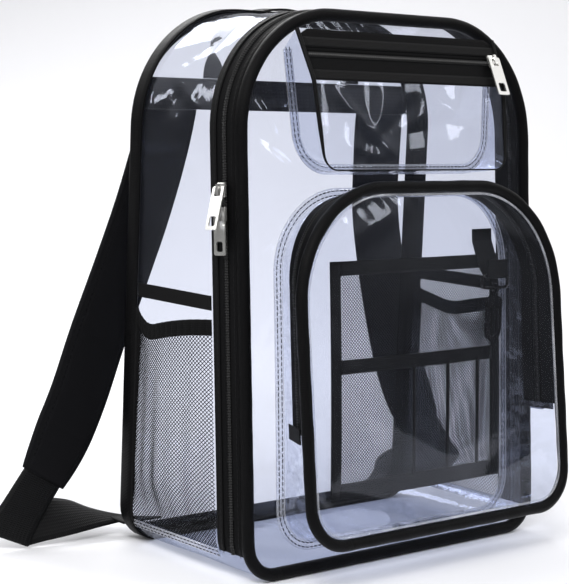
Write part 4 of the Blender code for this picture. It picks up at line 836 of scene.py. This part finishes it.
def buildTopPocket():
    t = topPocket
    columns = []
    for grow in np.linspace(-t["flange"], 0.0, 5):
        x, z = topPath(t["seam"], grow)
        columns.append((x, frontY(x, z) - pocket["off"], z))
    surface("top_pocket_seam_film", stack(*columns), "seamFilm", wall=t["flangeWall"], node="top_flange",
            slotName="clear_seam")
    for word, grow in pocket["stitchRows"]:
        x, z = topPath(t["seam"], grow)
        stitches("top_pocket_stitches_" + word, joined(x, frontY(x, z) - pocket["stitchOff"], z), (0, -1, 0))
    seamX, seamZ = topPath(t["seam"])
    faceX, faceZ = topPath(t["face"])
    start, end = frontY(seamX, seamZ) - 0.0018, edgeY(faceZ) - topDepth(faceZ)
    way = distances(np.hypot(np.diff(seamX), np.diff(seamZ)))
    columns = []
    for share in np.linspace(0.0, 1.0, 12):
        wave = 0.0008 * (np.sin(way * 230 + 4 * share) + 0.5 * np.sin(way * 390)) * math.sin(math.pi * share)
        columns.append((seamX + (faceX - seamX) * share, start + (end - start) * share - 0.4 * wave,
                        seamZ + (faceZ - seamZ) * share - wave * np.sign(0.345 - seamZ) * 0.5))
    surface("top_pocket_side_film", stack(*columns), "gussetFilm", node="top_gusset",
            slotName="clear_pocket_side")

    def facePart(name, heights, columns, look, node, slotName, wall=0.0, folds=(), push=0.0):
        z = np.asarray(heights)[:, None]
        half = np.minimum(topSide(t["face"], z), halfWidth(body, z, 0.0100)) - 0.0010
        x = half * np.linspace(-1.0, 1.0, columns)[None, :]
        lift = push + (creases(x, z, folds) + 0.0004 * np.sin(x * 150) if folds else 0.0)
        return surface(name, joined(x, edgeY(z) - topDepth(z) - lift, z), look, flip=True, wall=wall,
                       node=node, slotName=slotName)

    turn = np.linspace(0.12, math.pi / 2, 16)
    curved = t["face"]["base"] + t["face"]["radius"] * (1.0 - np.cos(turn))
    heights = np.concatenate([curved, np.linspace(curved[-1], t["tapeLow"], 26)[1:]])
    facePart("top_pocket_face_film", heights, 80, "pocketFilm", "top_face", "clear_pocket", folds=t["folds"])
    for word, low, high in (("lower", t["tapeLow"], t["coilZ"] - t["coilHalf"]),
                            ("upper", t["coilZ"] + t["coilHalf"], t["face"]["top"])):
        facePart("top_pocket_tape_" + word, np.linspace(low, high, 8), 40, "tape", "top_tape_" + word,
                 "zip_tape_wide", wall=bag["flatWall"])
    for word, low in (("lower", t["tapeLow"]), ("upper", t["coilZ"] + 0.0055)):
        facePart("top_pocket_fold_" + word, np.linspace(low, low + t["foldHeight"], 5), 40, "trim", None,
                 "black_trim", wall=bag["foldWall"], push=0.0008)
    half = float(topSide(t["face"], t["coilZ"])) - 0.002
    y = float(edgeY(t["coilZ"]) - topDepth(t["coilZ"]))
    (lowZ, lowDepth), (highZ, highDepth) = t["depths"][1:]
    slope = (lowDepth - highDepth) / (highZ - lowZ) + bag["lean"]
    coil("top_pocket_coil", joined((-half, 0.0, half), y, t["coilZ"]), (0.0, slope, 1.0), "top_coil")
    # The face's sewn edge is dark down its sides and thin under its base.
    line = evenly(joined(faceX, end - 0.0006, faceZ), 0.003)
    fat = 0.0006 + 0.0011 * np.clip((line[:, 2] - t["face"]["base"]) / 0.030, 0.0, 1.0)
    surface("top_pocket_edge_binding", section(line, fat, fat, 8), "trim", ringColumns=True,
            slotName="black_trim")
    print("stage: top pocket")


straps = {"anchor": (0.348, 0.025), "handleHalf": 0.076, "handleRise": 0.060, "handleWidth": 0.020,
          "padWidth": 0.056, "padThick": 0.0090, "padEnd": 0.8, "webWidth": 0.038, "webThick": 0.0017,
          "taper": 0.14, "padCorner": 0.05, "quilt": {"depth": 0.10, "pitch": 0.082, "width": 0.0022},
          "groove": {"depth": 0.30, "place": 0.86, "width": 0.05}, "clearFloor": 0.0011}
# Centre line of the left pad: x, depth behind its seat and way down, as shares of half the width, of
# the base depth and of the anchor's height.
padPath = ((-0.734, 0.000, 0.000), (-0.765, 0.035, 0.105), (-0.818, 0.085, 0.235), (-0.905, 0.120, 0.370),
           (-1.025, 0.150, 0.530), (-1.130, 0.155, 0.665), (-1.235, 0.150, 0.765), (-1.345, 0.140, 0.850))
# The left webbing down to the floor and back to the base corner: x, depth behind the back, its lower
# edge as shares of half the width, the base depth and the pad end's height, then its direction across.
webPath = ((-1.455, 0.154, 0.463, 0.93, -0.10, -0.36), (-1.540, 0.136, 0.169, 0.90, -0.24, -0.38),
           (-1.569, 0.123, 0.040, 0.87, -0.31, -0.38), (-1.578, 0.137, 0.034, 0.87, -0.31, -0.38),
           (-1.562, 0.152, 0.034, 0.76, -0.43, -0.49), (-1.488, 0.159, 0.034, 0.45, -0.51, -0.73),
           (-1.394, 0.154, 0.060, 0.21, -0.53, -0.82), (-1.238, 0.148, 0.130, 0.21, -0.74, -0.63),
           (-1.088, 0.154, 0.184, 0.37, -0.82, -0.42), (-0.962, 0.145, 0.210, 0.66, -0.74, -0.21),
           (-0.875, 0.092, 0.210, 0.90, -0.42, -0.08), (-0.838, 0.000, 0.220, 1.00, 0.00, 0.00))


def smoothRows(rows, count):
    # A short table of rows as a smooth curve: Catmull-Rom between the rows.
    rows = np.asarray(rows, dtype=float)
    ends = np.vstack([2 * rows[0] - rows[1], rows, 2 * rows[-1] - rows[-2]])
    way = distances(stepLengths(rows[:, :3]) + 1e-6)
    at = np.linspace(0.0, way[-1], count)
    index = np.clip(np.searchsorted(way, at, side="right") - 1, 0, len(rows) - 2)
    t = ((at - way[index]) / (way[index + 1] - way[index]))[:, None]
    a, b, c, d = (ends[index + k] for k in range(4))
    return 0.5 * (2 * b + (c - a) * t + (2 * a - 5 * b + 4 * c - d) * t**2 + (3 * b - a - 3 * c + d) * t**3)


def ribbon(name, middle, hand, node):
    # Flat webbing along a line; hand is its half width's vector at each point.
    grid = middle[:, None] + hand[:, None] * np.linspace(-1.0, 1.0, 9)[None, :, None]
    return surface(name, grid, "webbing", wall=straps["webThick"], node=node, slotName="webbing")


def shrunk(row, size):
    middle = row.mean(axis=1, keepdims=True)
    return middle + (row - middle) * size


def buildBack():
    s = straps
    onBack = lambda x, z: backY(x, z) + 0.0005 + 0.0003 + s["webThick"] / 2
    low, height = s["anchor"]
    z = np.linspace(low, low + height, 8)[:, None]
    half = halfWidth(body, z, bag["wrapRear"]) - 0.0010
    x = half * np.linspace(-1.0, 1.0, 70)[None, :]
    surface("anchor_webbing", joined(x, onBack(x, z), z).transpose(1, 0, 2), "webbing",
            wall=s["webThick"], node="anchor_band", slotName="webbing")
    for word, off in (("lower", 0.0030), ("upper", height - 0.0030)):
        span = halfWidth(body, low + off, bag["wrapRear"]) - 0.004
        line = [(x, float(onBack(x, low + off)) + 0.0010, low + off) for x in np.linspace(-span, span, 30)]
        stitches("anchor_stitches_" + word, line, (0, 1, 0))

    # The handle: its ends lie flat on the back and it turns edge-on above them.
    foot = low + height + 0.0003
    reach = s["handleWidth"] / 2
    turn = np.linspace(0.0, math.pi, 90)
    flat = np.exp(-((np.minimum(turn, math.pi - turn) / 0.42) ** 2))
    across = joined(np.sign(np.cos(turn)) * flat, 1.0 - flat, 0.0)
    across *= reach / np.linalg.norm(across, axis=1)[:, None]
    base = float(onBack(s["handleHalf"] - reach, foot))
    middle = joined(-s["handleHalf"] * np.cos(turn), base + across[:, 1] + 0.0006 * (1.0 - flat),
                    foot + s["handleRise"] * np.sin(turn))
    ribbon("grab_handle_webbing", middle, across, "grab_handle")

    pad = np.array(padPath)
    top = low - 0.0003
    inner = bag["half"] * pad[0, 0] + s["padWidth"] / 2
    seat = float(backY(inner, top)) + 0.0008 + s["padThick"] / 2
    rows = joined(pad[:, 0] * bag["half"], seat + pad[:, 1] * 2 * bag["backY"], top * (1.0 - pad[:, 2]))
    padRows = 120
    centre = smoothRows(rows, padRows)
    way = np.gradient(centre, axis=0)
    across = unit(joined(-way[:, 2], 0.0, way[:, 0]))
    blend = np.clip(np.linspace(0.0, 6.0, padRows), 0.0, 1.0)[:, None]
    across = unit(across * blend + np.array([1.0, 0.0, 0.0]) * (1.0 - blend))
    length = np.linspace(0.0, 1.0, padRows)
    taper = np.clip((length - 1.0 + s["taper"]) / s["taper"], 0.0, 1.0) ** 1.5
    half = s["padWidth"] / 2 * (1.0 - (1.0 - s["padEnd"]) * taper)
    nearEnd = np.clip(np.minimum(length / s["padCorner"], (1.0 - length) / s["padCorner"]), 0.0, 1.0)
    depth = s["padThick"] / 2 * (0.45 + 0.55 * nearEnd ** 0.5)
    seam = (length * 0.33) % s["quilt"]["pitch"] - s["quilt"]["pitch"] / 2
    quilt = 1.0 - s["quilt"]["depth"] * np.exp(-(seam / s["quilt"]["width"]) ** 2)
    end = centre[-1]
    onward = way[-1] / np.linalg.norm(way[-1])
    table = np.array(webPath)
    hand = unit(table[:, 3:]) * s["webWidth"] / 2
    lowEdge = 0.0009 + table[:, 2] * end[2]
    behind = bag["backY"] + 0.0013 + table[:, 1] * 2 * bag["backY"]
    line = joined(table[:, 0] * bag["half"], behind, lowEdge - hand[:, 2])
    start = np.concatenate([end - onward * 0.0060, across[-1] * s["webWidth"] / 2])
    web = smoothRows(np.vstack([start, np.hstack([line, hand])]), 200)
    web[:, 3:] *= s["webWidth"] / 2 / np.linalg.norm(web[:, 3:], axis=1)[:, None]
    dip = s["clearFloor"] - (web[:, 2] - np.abs(web[:, 5]))
    web[:, 2] += np.clip(dip, 0.0, None)
    turn = np.linspace(0.0, 2 * math.pi, 36, endpoint=False)
    wide = np.sign(np.cos(turn)) * np.abs(np.cos(turn)) ** 0.55
    tall = np.sign(np.sin(turn)) * np.abs(np.sin(turn)) ** 0.75
    # A groove inside each edge is where the edge binding is sewn down.
    offSeam = (np.abs(wide) - s["groove"]["place"]) / s["groove"]["width"]
    groove = 1.0 - s["groove"]["depth"] * np.exp(-(offSeam**2))
    out = np.cross(unit(way), across)
    for word, side in (("left", 1.0), ("right", -1.0)):
        flip = np.array([side, 1.0, 1.0])
        grid = (centre[:, None] + across[:, None] * (half[:, None] * wide[None, :])[..., None]
                + out[:, None] * ((depth * quilt)[:, None] * (tall * groove)[None, :])[..., None]) * flip
        caps, tails = [[shrunk(row, size) for size in sizes]
                       for row, sizes in ((grid[:1], (0.02, 0.6)), (grid[-1:], (0.6, 0.02)))]
        grid = np.concatenate(caps + [grid] + tails)
        piece = surface("shoulder_pad_" + word, grid, "pad", ringColumns=True, flip=side > 0,
                        node="strap_pad_" + word, slotName="pad_cloth")
        for row, share in (("inner", 0.80), ("outer", -0.80)):
            path = (centre + across * (share * half)[:, None] + out * (depth * 0.93)[:, None]) * flip
            facing = out * flip
            stitches(f"pad_stitches_{row}_{word}", path[3:-3], facing[3:4])
        ribbon("strap_webbing_dressed_" + word, web[:, :3] * flip, web[:, 3:] * flip, "strap_webbing_" + word)
    print("stage: straps and handle")


cadLooks = {
    "nickel": ("zip_slider_upper", "zip_slider_lower", "pocket_slider", "top_slider", "zip_pull_upper",
               "zip_pull_lower", "pocket_pull", "top_pull"),
    "plastic": ("key_ring", "swivel_eye", "snap_hook", "hook_gate"),
    "trim": ("side_trim_left", "side_trim_right", "pocket_zip_end_left", "pocket_zip_end_right"),
    "webbing": ("key_strap",),
}


def finishCad():
    # The pieces whose solid is already right keep it and take a finer material.
    for look, names in cadLooks.items():
        for name in names:
            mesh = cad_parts[name].data
            mesh.materials.clear()
            mesh.materials.append(looks[look])


# Each soft box: its place, its width and height, and its power.
stageLook = {"floor": "#ededf0", "sky": 1.00, "horizon": 0.10, "target": (0.0, 0.0, 0.2),
             "lights": {"key": ((-1.1, -0.9, 1.5), (0.9, 0.7), 22.0),
                        "front": ((1.15, -1.35, 1.15), (0.16, 0.8), 3.6),
                        "side": ((-1.05, 1.25, 1.10), (0.16, 0.8), 4.6),
                        "rim": ((0.3, 1.3, 1.3), (1.0, 0.5), 13.0)}}


def areaLight(name, place, size, power):
    light = bpy.data.lights.new(name, "AREA")
    light.shape = "RECTANGLE"
    light.size, light.size_y = size
    light.energy = power
    item = bpy.data.objects.new(name, light)
    item.location = place
    item.rotation_euler = (Vector(stageLook["target"]) - Vector(place)).to_track_quat("-Z", "Y").to_euler()
    bpy.context.scene.collection.objects.link(item)


def buildStage():
    # A pale floor that sweeps up behind the bag, lit by soft boxes; the camera was fitted to the photo.
    material, tree, shader = newMaterial("matt white studio paper")
    shader.inputs["Base Color"].default_value = linear(stageLook["floor"])
    shader.inputs["Roughness"].default_value = 0.9
    turn = np.linspace(0.0, math.pi / 2, 24)
    away = np.concatenate([[-0.9, -0.3, 0.3, 0.8], 1.1 + 0.9 * np.sin(turn), [2.0]])
    high = np.concatenate([[0.0] * 4, 0.9 * (1.0 - np.cos(turn)), [2.2]])
    forward = np.array([0.6593, 0.7519])
    right = np.array([0.7519, -0.6593])
    span = np.linspace(-1.1, 1.1, 9)
    x = away[:, None] * forward[0] + span[None, :] * right[0]
    y = away[:, None] * forward[1] + span[None, :] * right[1]
    grid = joined(x, y, high[:, None])
    mesh = bpy.data.meshes.new("studio_floor")
    mesh.from_pydata(grid.reshape(-1, 3).tolist(), [], gridFaces(*grid.shape[:2], flip=True).tolist())
    mesh.polygons.foreach_set("use_smooth", np.ones(len(mesh.polygons), dtype=bool))
    mesh.materials.append(material)
    floor = bpy.data.objects.new("studio_floor", mesh)
    bpy.context.scene.collection.objects.link(floor)
    floor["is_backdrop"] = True

    # The room is bright above and dark round the horizon, so that the film stays clear; what the eye
    # sees straight on is a pale backdrop.
    world = bpy.data.worlds.new("studio")
    world.use_nodes = True
    tree = world.node_tree
    place = addNode(tree, "ShaderNodeTexCoord").outputs["Generated"]
    height = addNode(tree, "ShaderNodeSeparateXYZ", {0: place})
    strength = addNode(tree, "ShaderNodeMapRange",
                       {"Value": height.outputs["Z"], "From Min": 0.10, "From Max": 0.45,
                        "To Min": stageLook["horizon"], "To Max": stageLook["sky"]})
    sky = tree.nodes["Background"]
    sky.inputs["Color"].default_value = (1.0, 1.0, 1.0, 1.0)
    direct = addNode(tree, "ShaderNodeLightPath").outputs["Is Camera Ray"]
    tree.links.new(product(tree, strength.outputs[0], direct, "MAXIMUM"), sky.inputs["Strength"])
    bpy.context.scene.world = world
    for name, (place, size, power) in stageLook["lights"].items():
        areaLight(name + "_softbox", place, size, power)

    lens = bpy.data.cameras.new("photo_camera")
    lens.lens = 107.62
    lens.sensor_width = 36.0
    lens.clip_start = 0.05
    camera = bpy.data.objects.new("photo_camera", lens)
    right = Vector((0.75438369, -0.65531343, 0.03833482))
    up = Vector((0.04920607, 0.11468617, 0.99218236))
    forward = Vector((0.6545869, 0.74659989, -0.11876278))
    turned = Matrix((right, up, -forward)).transposed().to_4x4()
    camera.matrix_world = Matrix.Translation((-0.97360609, -1.04099344, 0.37205776)) @ turned
    bpy.context.scene.collection.objects.link(camera)
    bpy.context.scene.camera = camera
    bpy.context.scene.view_settings.view_transform = "Standard"
    print("stage: floor, light and camera")


zipEnd = buildBody()
buildSidePockets(zipEnd)
buildLowerPocket()
buildOrganizer()
buildTopPocket()
buildBack()
finishCad()
buildStage()

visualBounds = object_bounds()
plain = lambda box: [[float(v) for v in corner] for corner in box]
{"cad": plain(cadBounds), "visual": plain(visualBounds)}
